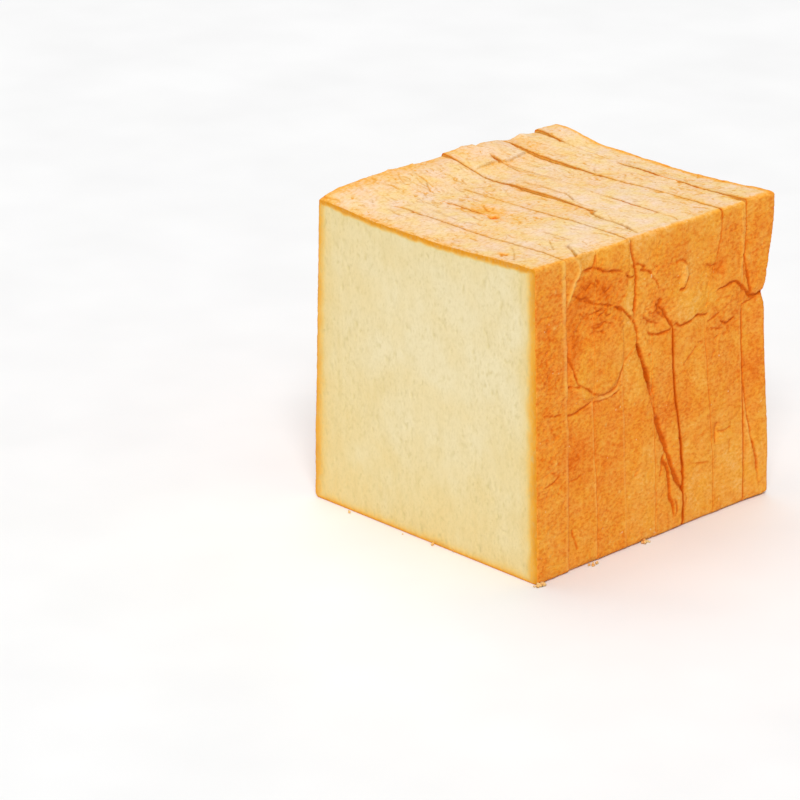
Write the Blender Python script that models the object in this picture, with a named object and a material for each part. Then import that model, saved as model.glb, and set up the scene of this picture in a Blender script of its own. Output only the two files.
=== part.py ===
"""A square white toast loaf, cut into slices that still stand together as one block.

X runs across the loaf, and the creased side crust faces +X. Y runs along it, from the cut
face at -Y to the baked heel at +Y. Z is up. Sizes below are millimetres, and heights and
places along the loaf are counted from its underside and from its first cut face. The frame's
origin is the middle of the underside.
"""

import math

import bmesh
import bpy
import numpy as np

MM = 0.001

# Driving dimensions
SLICE_COUNT = 8
SLICE_PITCH = 15.0
TOP_WIDTH = 105.0
HEIGHT = 113.0
FLARE = 3.2  # how far each side leans out on its way down to the underside
GAP = 0.3  # room between two neighbouring slices
TOP_RADIUS = 1.4
BOTTOM_RADIUS = 2.0
HEEL_RIM_TOP = 1.2  # the rounded rim of the baked end, at its top and at its foot
HEEL_RIM_FOOT = 1.8

HALF_TOP = TOP_WIDTH / 2
LENGTH = SLICE_COUNT * SLICE_PITCH

# Where the soft block has folded in at its waist, the cuts and the heel bend with it on the
# creased side: how far each one lies from its even place at the foot, the waist and the brow.
FOOT, WAIST, BROW = 10.0, 75.0, 108.0
CUT_BEND = [
    (0.0, 0.0, 0.0),
    (0.6, 0.0, -0.4),
    (0.2, -2.4, 0.2),
    (0.0, -2.3, 1.1),
    (0.0, -2.6, 0.0),
    (-0.5, -6.8, -0.8),
    (0.4, -4.9, 3.8),
    (1.4, -0.7, 1.2),
]
# The last cut was made at a slant: it lies this much further back on the plain side.
SLANT = {7: 3.5}
HEEL_BEND = (-0.2, -3.6, 1.2)
HEEL_PINCH = 1.3  # the sharp nick of the waist fold in the baked end
HEEL_SPREAD = 0.9  # how far the creased side stands out towards the baked end
SPREAD_START, SPREAD_END = 104.0, 118.0
BACK_BULGE = 1.5

# The top crust: a ridge along the -X edge, a shallow dip in the middle of the cut face, and
# the slices that stand proud of their neighbours as (slice, middle across, half width, rise).
RIDGE_RISE = 3.9
RIDGE_START, RIDGE_END = -26.0, -50.0
RIDGE_RUN = 7.0
RIDGE_LEAD = 1.3
RIDGE_SINK = 0.45  # the share of its height that the ridge loses between these two places
SINK_START, SINK_END = 80.0, 96.0
DIP_DEPTH = 1.5
DIP_REACH = 14.0
PROUD_SLICES = [
    (4, -4.0, 26.0, 1.0),
    (6, -29.0, 24.0, 1.1),
    (7, -48.0, 22.0, 1.2),
    (7, 12.0, 34.0, -0.9),
    (7, 52.0, 16.0, 0.8),
]

# Seams of the dough in the side crust, as (depth, points along the loaf and up).
SEAM_WIDTH = 2.6
SEAMS = [
    (2.2, [(47, 113), (49.7, 96), (48.2, 83), (50.2, 75), (55.7, 60), (59.2, 46), (66, 30), (74, 14)]),
    (1.6, [(50, 75), (61, 75.5), (68, 76.5), (86, 76.5), (108, 78), (LENGTH + 4, 78)]),
    (1.3, [(17, 99), (28, 94.5), (39.3, 90.4), (48.2, 83.3)]),
    (1.2, [(22.5, 107), (33, 105.5), (43.5, 103)]),
]
# The rounded flap of dough under the brow, as its middle and half sizes, and how far it stands out.
FLAP = (31.0, 76.0, 15.0, 15.0)
FLAP_RISE = 0.9

# How finely each face of the section and each slice is divided.
SIDE_STEPS = 28
TOP_STEPS = 18
BOTTOM_STEPS = 6
CORNER_STEPS = 3
SLICE_STEPS = 4
RIM_STEPS = 4


def ramp(value, start, end):
    """Rises smoothly from 0 at start to 1 at end."""
    t = np.clip((value - start) / (end - start), 0.0, 1.0)
    return t * t * (3 - 2 * t)


def hump(value, middle, half_width):
    """A smooth hump, 1 in the middle and 0 from the half width outwards."""
    return np.clip(1 - ((value - middle) / half_width) ** 2, 0.0, 1.0) ** 2


def bend(height, foot, waist, brow):
    """Goes smoothly from the foot's value through the waist's to the brow's."""
    below = foot + (waist - foot) * ramp(height, FOOT, WAIST)
    return below + (brow - waist) * ramp(height, WAIST, BROW)


def creased_share(across):
    """0 at the plain side and 1 at the creased side, in a straight line between them."""
    return (across + HALF_TOP) / TOP_WIDTH


def cut_place(cut, across, height):
    """How far along the loaf a cut lies."""
    share = creased_share(across)
    slant = (1 - share) * SLANT.get(cut, 0.0)
    return cut * SLICE_PITCH + share * bend(height, *CUT_BEND[cut]) + slant


def heel_place(across, height):
    """How far along the loaf its baked end lies."""
    pinch = HEEL_PINCH * np.exp(-(((height - WAIST - 2.5) / 3.0) ** 2))
    bulge = BACK_BULGE * hump(across, 0, HALF_TOP + FLARE) * hump(height, HEIGHT / 2, HEIGHT * 0.7)
    return LENGTH + creased_share(across) * (bend(height, *HEEL_BEND) - pinch) + bulge


def top_rise(slice_number, across, along):
    """How far the top crust lies above the nominal height."""
    ridge = RIDGE_RISE * ramp(-across, -RIDGE_START, -RIDGE_END)
    ridge = ridge * (1 - np.exp(-(along + RIDGE_LEAD) / RIDGE_RUN))
    ridge = ridge * (1 - RIDGE_SINK * ramp(along, SINK_START, SINK_END))
    dip = DIP_DEPTH * hump(across, 0, HALF_TOP) * np.exp(-along / DIP_REACH)
    steps = [
        rise * hump(across, middle, half_width)
        for proud, middle, half_width, rise in PROUD_SLICES
        if proud == slice_number
    ]
    return ridge - dip + sum(steps)


def distance_to_line(along, height, points):
    """The distance from each place to a line through the given points."""
    nearest = np.full(np.shape(along), np.inf)
    for (y0, z0), (y1, z1) in zip(points, points[1:]):
        dy, dz = y1 - y0, z1 - z0
        t = ((along - y0) * dy + (height - z0) * dz) / (dy * dy + dz * dz)
        t = np.clip(t, 0.0, 1.0)
        nearest = np.minimum(nearest, np.hypot(along - y0 - t * dy, height - z0 - t * dz))
    return nearest


def side_relief(along, height):
    """How far the creased side stands out at each place: its seams and its flap."""
    middle_y, middle_z, half_y, half_z = FLAP
    reach = np.hypot((along - middle_y) / half_y, (height - middle_z) / half_z)
    relief = FLAP_RISE * (1 - ramp(reach, 0.85, 1.1))
    for depth, points in SEAMS:
        relief = relief - depth * np.exp(-((distance_to_line(along, height, points) / SEAM_WIDTH) ** 2))
    return relief


def corner(middle_x, middle_z, radius, start_degrees):
    """The points inside a quarter round, anticlockwise."""
    angles = [math.radians(start_degrees + 90 * i / CORNER_STEPS) for i in range(CORNER_STEPS + 1)]
    return [(middle_x + radius * math.cos(a), middle_z + radius * math.sin(a)) for a in angles]


def straight(start, end, steps):
    """The points between two ends, without the ends."""
    return [tuple(np.array(start) + (np.array(end) - start) * i / steps) for i in range(1, steps)]


def section_outline():
    """The loaf's section as (x, z, outward x, outward z), anticlockwise seen from the cut face.

    It starts at the middle of the underside, so that point i and point -i stand opposite.
    """
    top, bottom = TOP_RADIUS, BOTTOM_RADIUS
    right = straight((0, 0), (HALF_TOP - bottom, 0), BOTTOM_STEPS)
    right += corner(HALF_TOP - bottom, bottom, bottom, -90)
    right += straight((HALF_TOP, bottom), (HALF_TOP, HEIGHT - top), SIDE_STEPS)
    right += corner(HALF_TOP - top, HEIGHT - top, top, 0)
    right += straight((HALF_TOP - top, HEIGHT), (0, HEIGHT), TOP_STEPS // 2)
    left = [(-x, z) for x, z in reversed(right)]
    points = np.array([(0.0, 0.0)] + right + [(0.0, HEIGHT)] + left)
    lean = 1 + FLARE / HALF_TOP * (1 - points[:, 1] / HEIGHT)
    points[:, 0] *= lean
    tangent = np.roll(points, -1, axis=0) - np.roll(points, 1, axis=0)
    tangent /= np.linalg.norm(tangent, axis=1, keepdims=True)
    return np.column_stack([points, tangent[:, 1], -tangent[:, 0]])


def slice_layers(slice_number, outline):
    """The slice's outline at each step along it, as arrays of points in millimetres."""
    x, z, out_x, out_z = outline.T
    is_heel = slice_number == SLICE_COUNT - 1
    front = cut_place(slice_number, x, z) + (GAP / 2 if slice_number else 0.0)
    rim = HEEL_RIM_FOOT + (HEEL_RIM_TOP - HEEL_RIM_FOOT) * z / HEIGHT
    if is_heel:
        back = heel_place(x, z) - rim
    else:
        back = cut_place(slice_number + 1, x, z) - GAP / 2
    steps = [(front + (back - front) * i / SLICE_STEPS, 0.0) for i in range(SLICE_STEPS + 1)]
    if is_heel:
        for i in range(1, RIM_STEPS + 1):
            angle = math.pi / 2 * i / RIM_STEPS
            steps.append((back + rim * math.sin(angle), rim * (1 - math.cos(angle))))
    layers = []
    for along, inset in steps:
        spread = HEEL_SPREAD * ramp(along, SPREAD_START, SPREAD_END) * np.clip(out_x, 0, 1)
        stand_out = side_relief(along, z) * (out_x > 0.9) + spread
        lift = top_rise(slice_number, x, along) * ramp(z, HEIGHT * 0.75, HEIGHT)
        layers.append(np.column_stack([x + out_x * (stand_out - inset), along, z - out_z * inset + lift]))
    return layers


def end_faces(ring, top_row, bottom_row):
    """Closes one end of a slice with strips between its two sides, and a face at top and bottom."""
    count = len(ring)
    pairs = range(bottom_row, top_row)
    faces = [[ring[i], ring[i + 1], ring[count - i - 1], ring[count - i]] for i in pairs]
    faces.append([ring[i % count] for i in range(-bottom_row, bottom_row + 1)])
    faces.append(ring[top_row : count - top_row + 1])
    return faces


def build_slice(slice_number, layers, crust, crumb):
    """One slice: a crust round its edge and crumb on its cut faces."""
    count = len(layers[0])
    bottom_row = BOTTOM_STEPS + CORNER_STEPS
    top_row = bottom_row + SIDE_STEPS - 2
    bm = bmesh.new()
    rings = [[bm.verts.new(point * MM) for point in layer] for layer in layers]
    for lower, upper in zip(rings, rings[1:]):
        for i in range(count):
            j = (i + 1) % count
            bm.faces.new([lower[i], lower[j], upper[j], upper[i]])
    for ring in (rings[0], rings[-1]):
        baked_end = slice_number == SLICE_COUNT - 1 and ring is rings[-1]
        for corners in end_faces(ring, top_row, bottom_row):
            face = bm.faces.new(corners)
            face.material_index = 0 if baked_end else 1
    bm.normal_update()
    bmesh.ops.triangulate(bm, faces=bm.faces[:])
    bmesh.ops.recalc_face_normals(bm, faces=bm.faces[:])
    mesh = bpy.data.meshes.new(f"slice_{slice_number + 1}")
    bm.to_mesh(mesh)
    bm.free()
    mesh.materials.append(crust)
    mesh.materials.append(crumb)
    mesh.shade_smooth()
    mesh.set_sharp_from_angle(angle=math.radians(35))
    return bpy.data.objects.new(mesh.name, mesh)


def material(name, colour, roughness):
    """A plain opaque material with a linear colour."""
    made = bpy.data.materials.new(name)
    made.use_nodes = True
    shader = made.node_tree.nodes["Principled BSDF"]
    shader.inputs["Base Color"].default_value = (*colour, 1.0)
    shader.inputs["Roughness"].default_value = roughness
    shader.inputs["Metallic"].default_value = 0.0
    return made


def build_loaf():
    """All the slices under one empty, with the middle of the underside at the origin."""
    crust = material("crust", (0.80, 0.34, 0.08), 0.6)
    crumb = material("crumb", (0.86, 0.74, 0.45), 0.85)
    outline = section_outline()
    all_layers = [slice_layers(number, outline) for number in range(SLICE_COUNT)]
    points = np.concatenate([layer for layers in all_layers for layer in layers])
    middle = (points.min(axis=0) + points.max(axis=0)) / 2
    loaf = bpy.data.objects.new("loaf", None)
    bpy.context.scene.collection.objects.link(loaf)
    loaf.location = (-middle[0] * MM, -middle[1] * MM, 0.0)
    for number, layers in enumerate(all_layers):
        start = np.array([0.0, number * SLICE_PITCH, 0.0])
        one_slice = build_slice(number, [layer - start for layer in layers], crust, crumb)
        one_slice.parent = loaf
        one_slice.location = start * MM
        bpy.context.scene.collection.objects.link(one_slice)


def main():
    for old in list(bpy.data.objects):
        bpy.data.objects.remove(old)
    build_loaf()


main()
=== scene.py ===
"""The looks of a sliced toast loaf: creased golden crust, fine cream crumb and a few crumbs.

Lengths here are millimetres, counted across the loaf from its middle (x), along it from its
first cut face (y) and up from its underside (z). A shift takes these places to the frame's, and
MM turns the lengths into metres.
"""

import itertools
import math
from types import SimpleNamespace

import bmesh
import bpy
import numpy as np
from mathutils import Matrix, Vector


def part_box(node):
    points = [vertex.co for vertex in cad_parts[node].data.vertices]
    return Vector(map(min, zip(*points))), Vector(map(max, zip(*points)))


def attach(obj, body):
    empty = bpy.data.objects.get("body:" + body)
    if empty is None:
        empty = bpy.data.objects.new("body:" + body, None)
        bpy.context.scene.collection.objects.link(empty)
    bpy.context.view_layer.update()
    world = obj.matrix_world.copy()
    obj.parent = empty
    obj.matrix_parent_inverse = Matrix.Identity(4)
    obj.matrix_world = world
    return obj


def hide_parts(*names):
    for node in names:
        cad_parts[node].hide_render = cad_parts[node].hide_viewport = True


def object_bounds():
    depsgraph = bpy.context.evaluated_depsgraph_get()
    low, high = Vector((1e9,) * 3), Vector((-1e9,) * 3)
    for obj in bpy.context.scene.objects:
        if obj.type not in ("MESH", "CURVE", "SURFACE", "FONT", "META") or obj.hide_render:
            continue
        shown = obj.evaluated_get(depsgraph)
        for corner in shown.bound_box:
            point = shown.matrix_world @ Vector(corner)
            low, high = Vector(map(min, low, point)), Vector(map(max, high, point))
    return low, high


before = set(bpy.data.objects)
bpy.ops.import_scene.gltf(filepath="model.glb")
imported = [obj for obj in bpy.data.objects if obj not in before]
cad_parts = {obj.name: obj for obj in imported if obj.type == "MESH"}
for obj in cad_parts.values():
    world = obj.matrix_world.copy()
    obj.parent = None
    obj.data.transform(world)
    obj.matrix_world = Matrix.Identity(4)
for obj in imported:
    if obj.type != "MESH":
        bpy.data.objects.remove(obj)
CAD_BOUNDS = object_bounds()
MM = 0.001

# ---------------------------------------------------------------- the loaf's sizes
SLICE_COUNT = 8  # counted from 0 at the first cut face, though the pieces' names start at 1
SLICE_PITCH = 15.0
TOP_WIDTH = 105.0
HEIGHT = 113.0
FLARE = 3.2  # how far each side leans out on its way down to the underside
TOP_RADIUS = 1.4
BOTTOM_RADIUS = 2.0
HEEL_RIM_TOP = 1.2  # the rounded rim of the baked end, at its top and at its foot
HEEL_RIM_FOOT = 1.8
HALF_TOP = TOP_WIDTH / 2
LENGTH = SLICE_COUNT * SLICE_PITCH
FOOT, WAIST, BROW = 10.0, 75.0, 108.0  # the heights at which a cut's course is given
# How far each cut lies from its even place on the creased side, at those three heights.
CUT_BEND = [
    (0.0, 0.0, 0.0),
    (0.6, 0.0, -0.4),
    (0.2, -2.4, 0.2),
    (0.0, -2.3, 1.1),
    (0.0, -2.6, 0.0),
    (-0.5, -6.8, -0.8),
    (0.4, -4.9, 3.8),
    (1.4, -0.7, 1.2),
]
SLANT = {7: 3.5}  # how much further back a cut lies on the plain side
HEEL_BEND = (-0.2, -3.6, 1.2)  # the same for the baked end
# The sharp nick of the waist fold in the baked end: depth, height above the waist, half size.
HEEL_PINCH, PINCH_ABOVE_WAIST, PINCH_SIZE = 1.3, 2.5, 3.0
# The deep fold that runs on from there over the baked end.
FOLD_DEPTH, FOLD_ABOVE_WAIST, FOLD_SIZE = 0.9, 2.8, 0.8
HEEL_SPREAD = 0.9  # how far the creased side stands out towards the baked end
SPREAD_START, SPREAD_END = 104.0, 118.0
BACK_BULGE = 1.5  # how far the middle of the baked end bulges
# The top crust: a ridge along the plain side's edge, a shallow dip in the middle of the cut
# face, and slices that stand proud of their neighbours.
RIDGE_RISE = 3.9
RIDGE_START, RIDGE_END = -26.0, -50.0
RIDGE_RUN = 7.0
RIDGE_LEAD = 1.3
RIDGE_SINK = 0.45  # the share of its height that the ridge loses between these two places
SINK_START, SINK_END = 80.0, 96.0
DIP_DEPTH = 1.5
DIP_REACH = 14.0
LIFT_START = 0.75 * HEIGHT  # the bread below this height takes no part in the top's rise
# (slice, middle across, half width, rise)
PROUD_SLICES = [
    (4, -4.0, 26.0, 1.0),
    (6, -29.0, 24.0, 1.1),
    (7, -48.0, 22.0, 1.2),
    (7, 12.0, 34.0, -0.9),
    (7, 52.0, 16.0, 0.8),
]

# ---------------------------------------------------------------- how fine the meshes are
# Round the section: on the creased side, the top, the plain side and the underside.
SIDE_STEP, TOP_STEP, PLAIN_STEP, FOOT_STEP = 0.42, 0.45, 0.6, 1.3
CORNER_POINTS = 10
FOOT_CORNER_POINTS = 8
LAYER_STEP = 0.42  # along a slice
END_LAYERS = (0.0, 0.1, 0.24, 0.42, 0.7)  # how far the crust's last layers lie from a cut
RIM_LAYERS = 9
# On the first cut face, the baked end and the faces that hide inside the loaf.
FACE_STEP, HEEL_STEP, HIDDEN_STEP = 0.45, 0.55, 1.9
FACE_MARGIN = 1.5  # how far inside the outline the grid of a face starts
RING_INSETS = (0.3, 0.8)  # how far inside the outline the rings before it lie
SHARP_ANGLE = math.radians(62)

# ---------------------------------------------------------------- the cuts in the crust
CLOSED_GAP = 0.02
WIDE_GAP = 0.4  # from this width on, a cut looks fully open
GAP_START, GAP_END = 0.5, 5.0  # an open cut closes between these depths in the bread
# How far the crust's edge is rounded at the first face, and at closed and at open cuts.
FRONT_ROUND = 0.3
CLOSED_ROUND = 0.10
OPEN_ROUND = 0.38
# Where each cut stands open on the creased side: (from height, to height, width).
SIDE_OPENINGS = {
    1: [(0, 44, 0.22), (60, 113, 0.12)],
    2: [(0, 59, 0.07)],
    3: [(0, 72, 0.06), (96, 113, 0.16)],
    4: [(0, 60, 0.06)],
    5: [(0, 76, 0.7), (20, 36, 0.4), (-4, 8, 0.4)],
    6: [(93, 113, 0.15), (0, 68, 0.08)],
    7: [(0, 75, 0.24), (86, 113, 0.16)],
}
# The same on the plain side.
PLAIN_OPENINGS = {
    1: [(0, 70, 0.10), (82, 113, 0.07)],
    2: [(12, 113, 0.09)],
    3: [(0, 40, 0.14), (52, 113, 0.07)],
    4: [(0, 113, 0.12)],
    5: [(0, 30, 0.08), (44, 113, 0.10)],
    6: [(6, 96, 0.09)],
    7: [(0, 113, 0.20)],
}
# Where each cut stands open in the top crust: (from x, to x, width).
TOP_OPENINGS = {
    1: [(-28, 53, 0.27)],
    2: [(-17, -2, 0.22), (27, 40, 0.18)],
    3: [(-26, 51, 0.32)],
    4: [(-60, 24, 0.34)],
    5: [(-42, 41, 0.22)],
    6: [(-50, 53, 0.38)],
    7: [(-60, -14, 0.38), (-9, 11, 0.36), (20, 53, 0.34)],
}
# How light the crust's cut edge shows beside each cut: (height from, to, width, strength).
LIGHT_EDGES = {
    1: [(97, 116, 2.1, 0.95), (62, 97, 1.8, 0.62), (0, 62, 1.4, 0.40)],
    2: [(0, 60, 0.9, 0.40), (66, 104, 0.6, 0.18)],
    3: [(0, 72, 1.0, 0.45)],
    4: [(0, 60, 0.8, 0.32), (64, 104, 0.6, 0.15)],
    6: [(30, 66, 0.6, 0.20)],
    7: [(84, 116, 1.1, 0.55), (0, 74, 0.9, 0.40)],
}
PLAIN_EDGES = {
    1: [(0, 116, 1.0, 0.45)],
    2: [(20, 90, 0.7, 0.30)],
    3: [(0, 64, 1.0, 0.40), (70, 116, 0.7, 0.25)],
    4: [(0, 116, 0.8, 0.35)],
    5: [(40, 116, 1.0, 0.40)],
    6: [(0, 60, 0.7, 0.30)],
    7: [(0, 116, 1.1, 0.50)],
}
EDGE_RISE = 0.15  # how far such a light edge stands up
HALO = 0.14  # how much browner the top crust is beside the first face and beside open cuts
FRONT_HALO_REACH, HALO_REACH = 1.1, 0.9
# The darkness of an open cut over the crust's edge is painted shade.
OPEN_CUT_SHADE_REACH = 0.3  # how far the darkness of an open cut reaches over the crust's edge
# How much of the side's painted shade the creases and cuts of the top crust show.
TOP_MARKS = 0.9
# How dark the painted shade on the walls of an open cut is, and how much of the crust's browning their
# rims show.
WALL_SHADE_STRENGTH = 0.7
WALL_RIM = 0.6
# How far each slice stands out on the creased side, and how much browner or paler it is there: painted
# shade and light, as if each slice caught the light a little differently.
SLICE_PROUD = [0.55, 0.0, 0.12, -0.05, 0.15, 0.0, 0.1, 0.2]
SLICE_SHADING = [0.02, 0.0, 0.03, -0.02, 0.02, -0.02, 0.02, 0.04]
# How far a slice's top stands above its neighbours, fading back from its front edge:
# (slice, middle across, half width, rise, reach along).
TOP_STEPS = [
    (3, -53.0, 9.0, -0.6, 60.0),
    (4, -53.0, 11.0, 0.7, 60.0),
    (2, -8.0, 26.0, 0.25, 60.0),
    (5, 24.0, 26.0, 0.2, 60.0),
    (7, 12.0, 34.0, 1.2, 3.5),
]

# ---------------------------------------------------------------- the crust's creases
LIP_REACH = 4.0  # how far the raised bank beside a crease spreads
WIDER, SHALLOWER = 1.2, 0.88  # every crease is carved this much wider and shallower
CREASE_ENDS = 0.12  # the share of a crease's length over which each end fades
SWELL, SWELL_SIZE = 0.45, 2.8  # how much a crease widens and narrows, and over what length
SHORTEST_SCRATCH = 0.6
SCRATCH_HALVES = (0.20, 0.34)
SCRATCH_DEPTHS = (0.12, 0.34)
SCRATCH_LIPS = (0, 0.1)
SCRATCH_BEND = 0.35
# Side crust: (half width, depth, how far the bank on its left stands up, or on its right if
# negative, points along and up). A crease with a negative depth is a raised rim.
SIDE_CREASES = [
    # the seam that runs from the top edge down to the foot of the fifth cut
    (0.42, 1.1, -0.3, [(47.2, 115), (47.6, 109), (48.8, 103), (49.8, 96), (49, 88), (48.2, 83)]),
    (0.36, 0.6, 0.0, [(48.2, 84), (49.8, 80), (50.4, 76), (50, 73.5)]),
    (0.54, 3.0, -0.3, [(49.4, 75), (51.4, 71.6), (53.6, 66),
                       (55.6, 60), (56.9, 56.2), (57.6, 53.4)]),
    (0.25, 0.35, 0.0, [(57.2, 55), (58.0, 51), (59.2, 46)]),
    (0.65, 1.6, -0.3, [(58.9, 47), (61.3, 40.6), (64.3, 34), (66, 30),
                       (68, 24.6), (70.5, 19.6), (73.4, 15), (75.4, 11.6)]),
    (0.48, 0.9, 0.4, [(65.6, 31.5), (63, 28.6), (64.8, 26), (66, 23),
                      (67, 18), (67.4, 13), (69, 10), (69.6, 4)]),
    (0.26, 0.45, 0.1, [(63.2, 28.4), (62.6, 24.8), (61.8, 22.6)]),
    (0.26, 0.4, 0.0, [(69.6, 12), (71.2, 8.6), (71.0, 4.6)]),
    (0.26, 0.4, 0.0, [(75.4, 13.4), (76.4, 9.6), (75.4, 6)]),
    # folds that meet at the head of the fifth cut
    (0.42, 0.9, 0.3, [(68.4, 75.6), (66.2, 78.6), (63.6, 82.6), (61.5, 84.8), (58.9, 87.1)]),
    (0.34, 0.8, -0.3, [(68.4, 76), (66, 75.8), (61, 75.4), (57, 76.2), (55.2, 77.8)]),
    (0.36, 0.6, 0.3, [(52.7, 83.9), (56.8, 81.1), (61.9, 78.7)]),
    (0.24, 0.3, 0.1, [(58.5, 84.6), (61.4, 82.6), (64.8, 79.8)]),
    (0.5, 0.5, 0.0, [(62.4, 88.6), (61.0, 86), (59.6, 84)]),
    (0.36, 0.8, 0.4, [(68.4, 76.2), (70, 77), (72.4, 75.6), (76.5, 75.9),
                      (80.5, 77.3), (84, 76.4), (87, 76.7)]),
    # folds under the brow
    (0.36, 0.7, 0.5, [(22.2, 106.6), (25.6, 106.8), (29, 106.9),
                      (33.2, 104.9), (38, 103.8), (43.5, 102.2)]),
    (0.28, 0.5, 0.0, [(28.3, 107), (29.6, 109.2), (30.4, 111)]),
    (0.28, 0.5, 0.25, [(17, 99.4), (20, 98.8), (22.3, 97.3), (25, 97),
                       (27.9, 94.5), (34, 92.5), (39.3, 90.8)]),
    (0.36, 0.9, 0.45, [(38, 91), (42.4, 88.8), (45.5, 86.1), (48.3, 83)]),
    (0.36, 0.9, 0.3, [(44.4, 100.8), (46.4, 99.4), (48.8, 99.4)]),
    (0.34, 0.7, 0.3, [(49.8, 103.4), (51.8, 102.4), (54.4, 101)]),
    (0.34, 0.7, 0.3, [(51.4, 100.6), (55.0, 99.8), (58, 98)]),
    (0.24, 0.45, 0.15, [(57.6, 97), (60, 94.4), (61, 91.5)]),
    (0.24, 0.45, 0.2, [(24.5, 91.6), (28, 90.6), (32, 91.2), (35.6, 89.8)]),
    (0.24, 0.4, 0.1, [(23, 102), (25, 100), (27.6, 101.4), (30.6, 99)]),
    (0.24, 0.4, 0.1, [(27, 86.4), (31, 85.2), (34, 86.4), (38, 84.6)]),
    (0.22, 0.35, 0.1, [(22, 92.6), (25.6, 89.4), (28.6, 88.8)]),
    # short folds of loose skin between the brow and the flap
    (0.40, 0.45, 0.2, [(29.2, 102.4), (30.4, 101.2), (30.0, 100)]),
    (0.34, 0.40, 0.3, [(32.6, 99.4), (34.4, 96.8), (36.8, 98)]),
    (0.38, 0.45, 0.3, [(21.6, 97.2), (24.0, 96.4), (26.2, 95.4)]),
    (0.28, 0.30, 0.3, [(28.8, 92.8), (30.2, 91.4), (31.8, 91.2)]),
    (0.32, 0.45, 0.4, [(30.4, 89.2), (33.6, 89.8), (35.2, 88.4), (37.4, 88.8)]),
    (0.26, 0.30, 0.3, [(26.2, 83.8), (29.6, 84.2), (33.4, 83.2)]),
    (0.24, 0.25, 0.3, [(27.8, 86.8), (31.0, 86.4), (33.6, 86.8)]),
    (0.26, 0.30, 0.2, [(22.6, 90.2), (25.0, 89.6), (27.2, 90)]),
    # a small flap of skin over the sixth slice
    (0.34, 0.6, -0.4, [(69.2, 98.6), (71.4, 99.3), (73.4, 99.2), (74.9, 98.2), (76, 97)]),
    (0.44, 0.9, -0.6, [(76.8, 93.6), (75.6, 91.2), (74.6, 89.2), (73, 88.6), (71.2, 89.2)]),
    # folds at the heel
    (0.38, 0.9, 0.5, [(90.6, 83.8), (95.3, 84.6), (98.4, 85.2), (101, 84.9),
                      (103.6, 83.1), (106.7, 80.1), (108.5, 78)]),
    (0.5, 1.4, 0.5, [(106.6, 80), (108.5, 78), (111, 77.6), (114.5, 78.2), (122, 78.6)]),
    (0.32, 0.8, 0.2, [(104.7, 95), (106.2, 89.1), (107.8, 83.1), (108.4, 78.4)]),
    (0.28, 0.5, 0.3, [(103.6, 75.6), (107.7, 76.2), (112.5, 76.8)]),
    (0.28, 0.7, 0.3, [(92.8, 72.8), (95.2, 71.3), (97.3, 70.9), (100.6, 72.2)]),
    (0.24, 0.45, 0.2, [(87.4, 71), (90, 70.3), (93.4, 69)]),
    (0.24, 0.4, 0.1, [(86, 73.6), (89.6, 74.4), (93, 76)]),
    (0.24, 0.4, 0.1, [(85.6, 95.2), (88.2, 93.6), (91.6, 93.8)]),
    (0.26, 0.35, 0.1, [(104.6, 56), (105.5, 47), (107, 37), (108.5, 30),
                       (110.5, 23), (112.6, 16), (114.6, 3)]),
    (0.32, 0.6, 0.2, [(110.4, 24), (111.6, 19), (112.8, 15.5), (113.8, 10)]),
    (0.28, 0.6, 0.0, [(91.6, 35), (92, 31), (91.4, 26.5)]),
    (0.26, 0.4, 0.2, [(92.6, 31), (95.4, 30.6), (99.6, 31.6)]),
    (0.26, 0.3, 0.2, [(77.6, 23.2), (82.9, 21.8), (88.6, 21)]),
    # round the flap of dough below the brow, and the pale folds under it
    (0.26, 0.6, 0.0, [(14.6, 80), (16.8, 75.1), (18.4, 70.6), (19.5, 68.1),
                      (22.1, 66.2), (25.2, 64.3), (28.4, 62.4)]),
    (0.26, 0.5, 0.0, [(26, 63.2), (31.3, 61), (35.6, 60.8),
                      (39.1, 61.9), (41.3, 64.8), (42.4, 69.6)]),
    (0.30, 0.1, -0.3, [(41.6, 66.4), (43.4, 69.6), (46, 71.8), (49.6, 74.8)]),
    (0.24, 0.5, 0.2, [(14.8, 67.9), (18.5, 67.2), (21.8, 66)]),
    (0.26, 0.4, 0.3, [(27.4, 58.8), (31.9, 59), (37, 59.2), (41.4, 60.4)]),
    (0.34, 0.6, 0.3, [(14.4, 57.2), (18.4, 57.2), (21.7, 57.9), (28.1, 59.8)]),
    (0.4, 0.22, 0.2, [(73.6, 60.4), (77, 63), (81, 66.4)]),
    (0.3, 0.5, 0.2, [(17.2, 15.4), (18.9, 11.2), (20.4, 6.6)]),
    (0.26, 0.3, 0.1, [(3, 60.5), (8, 59.5), (12.6, 58.8)]),
    (0.26, 0.3, 0.1, [(2.6, 34.5), (7, 35.2), (11.6, 37.6)]),
    (0.26, 0.3, 0.1, [(15.6, 33.6), (19, 33.2), (22, 34.4)]),
    # pale raised rims: the curled edge beside the first cut, and the folded edge at the seventh
    # A pale raised body on the small flap: its paleness is partly its own skin and partly painted
    # highlight.
    (0.9, -0.35, 0.0, [(74.8, 95.6), (74.2, 93), (73.4, 90.4)]),
    (0.55, -0.6, 0.0, [(14, 118), (16.4, 115.7), (19.4, 112.6), (21.8, 109.8),
                       (21.6, 107), (19.4, 103.6), (16.8, 99), (15, 95)]),
    (0.42, -0.3, 0.0, [(104.3, 112), (104.8, 104.2), (104.5, 96.2), (103.6, 89.1), (102.4, 85)]),
    (0.4, -0.25, 0.0, [(103.6, 57), (104.6, 47), (106, 38), (107.6, 30), (109.4, 23), (110.8, 17)]),
    # The pale fold under the flap: its paleness is partly its own skin and partly painted highlight.
    (0.7, -0.35, 0.0, [(28.6, 60), (33, 59.9), (38, 60.4), (41.6, 62)]),
]
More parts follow.
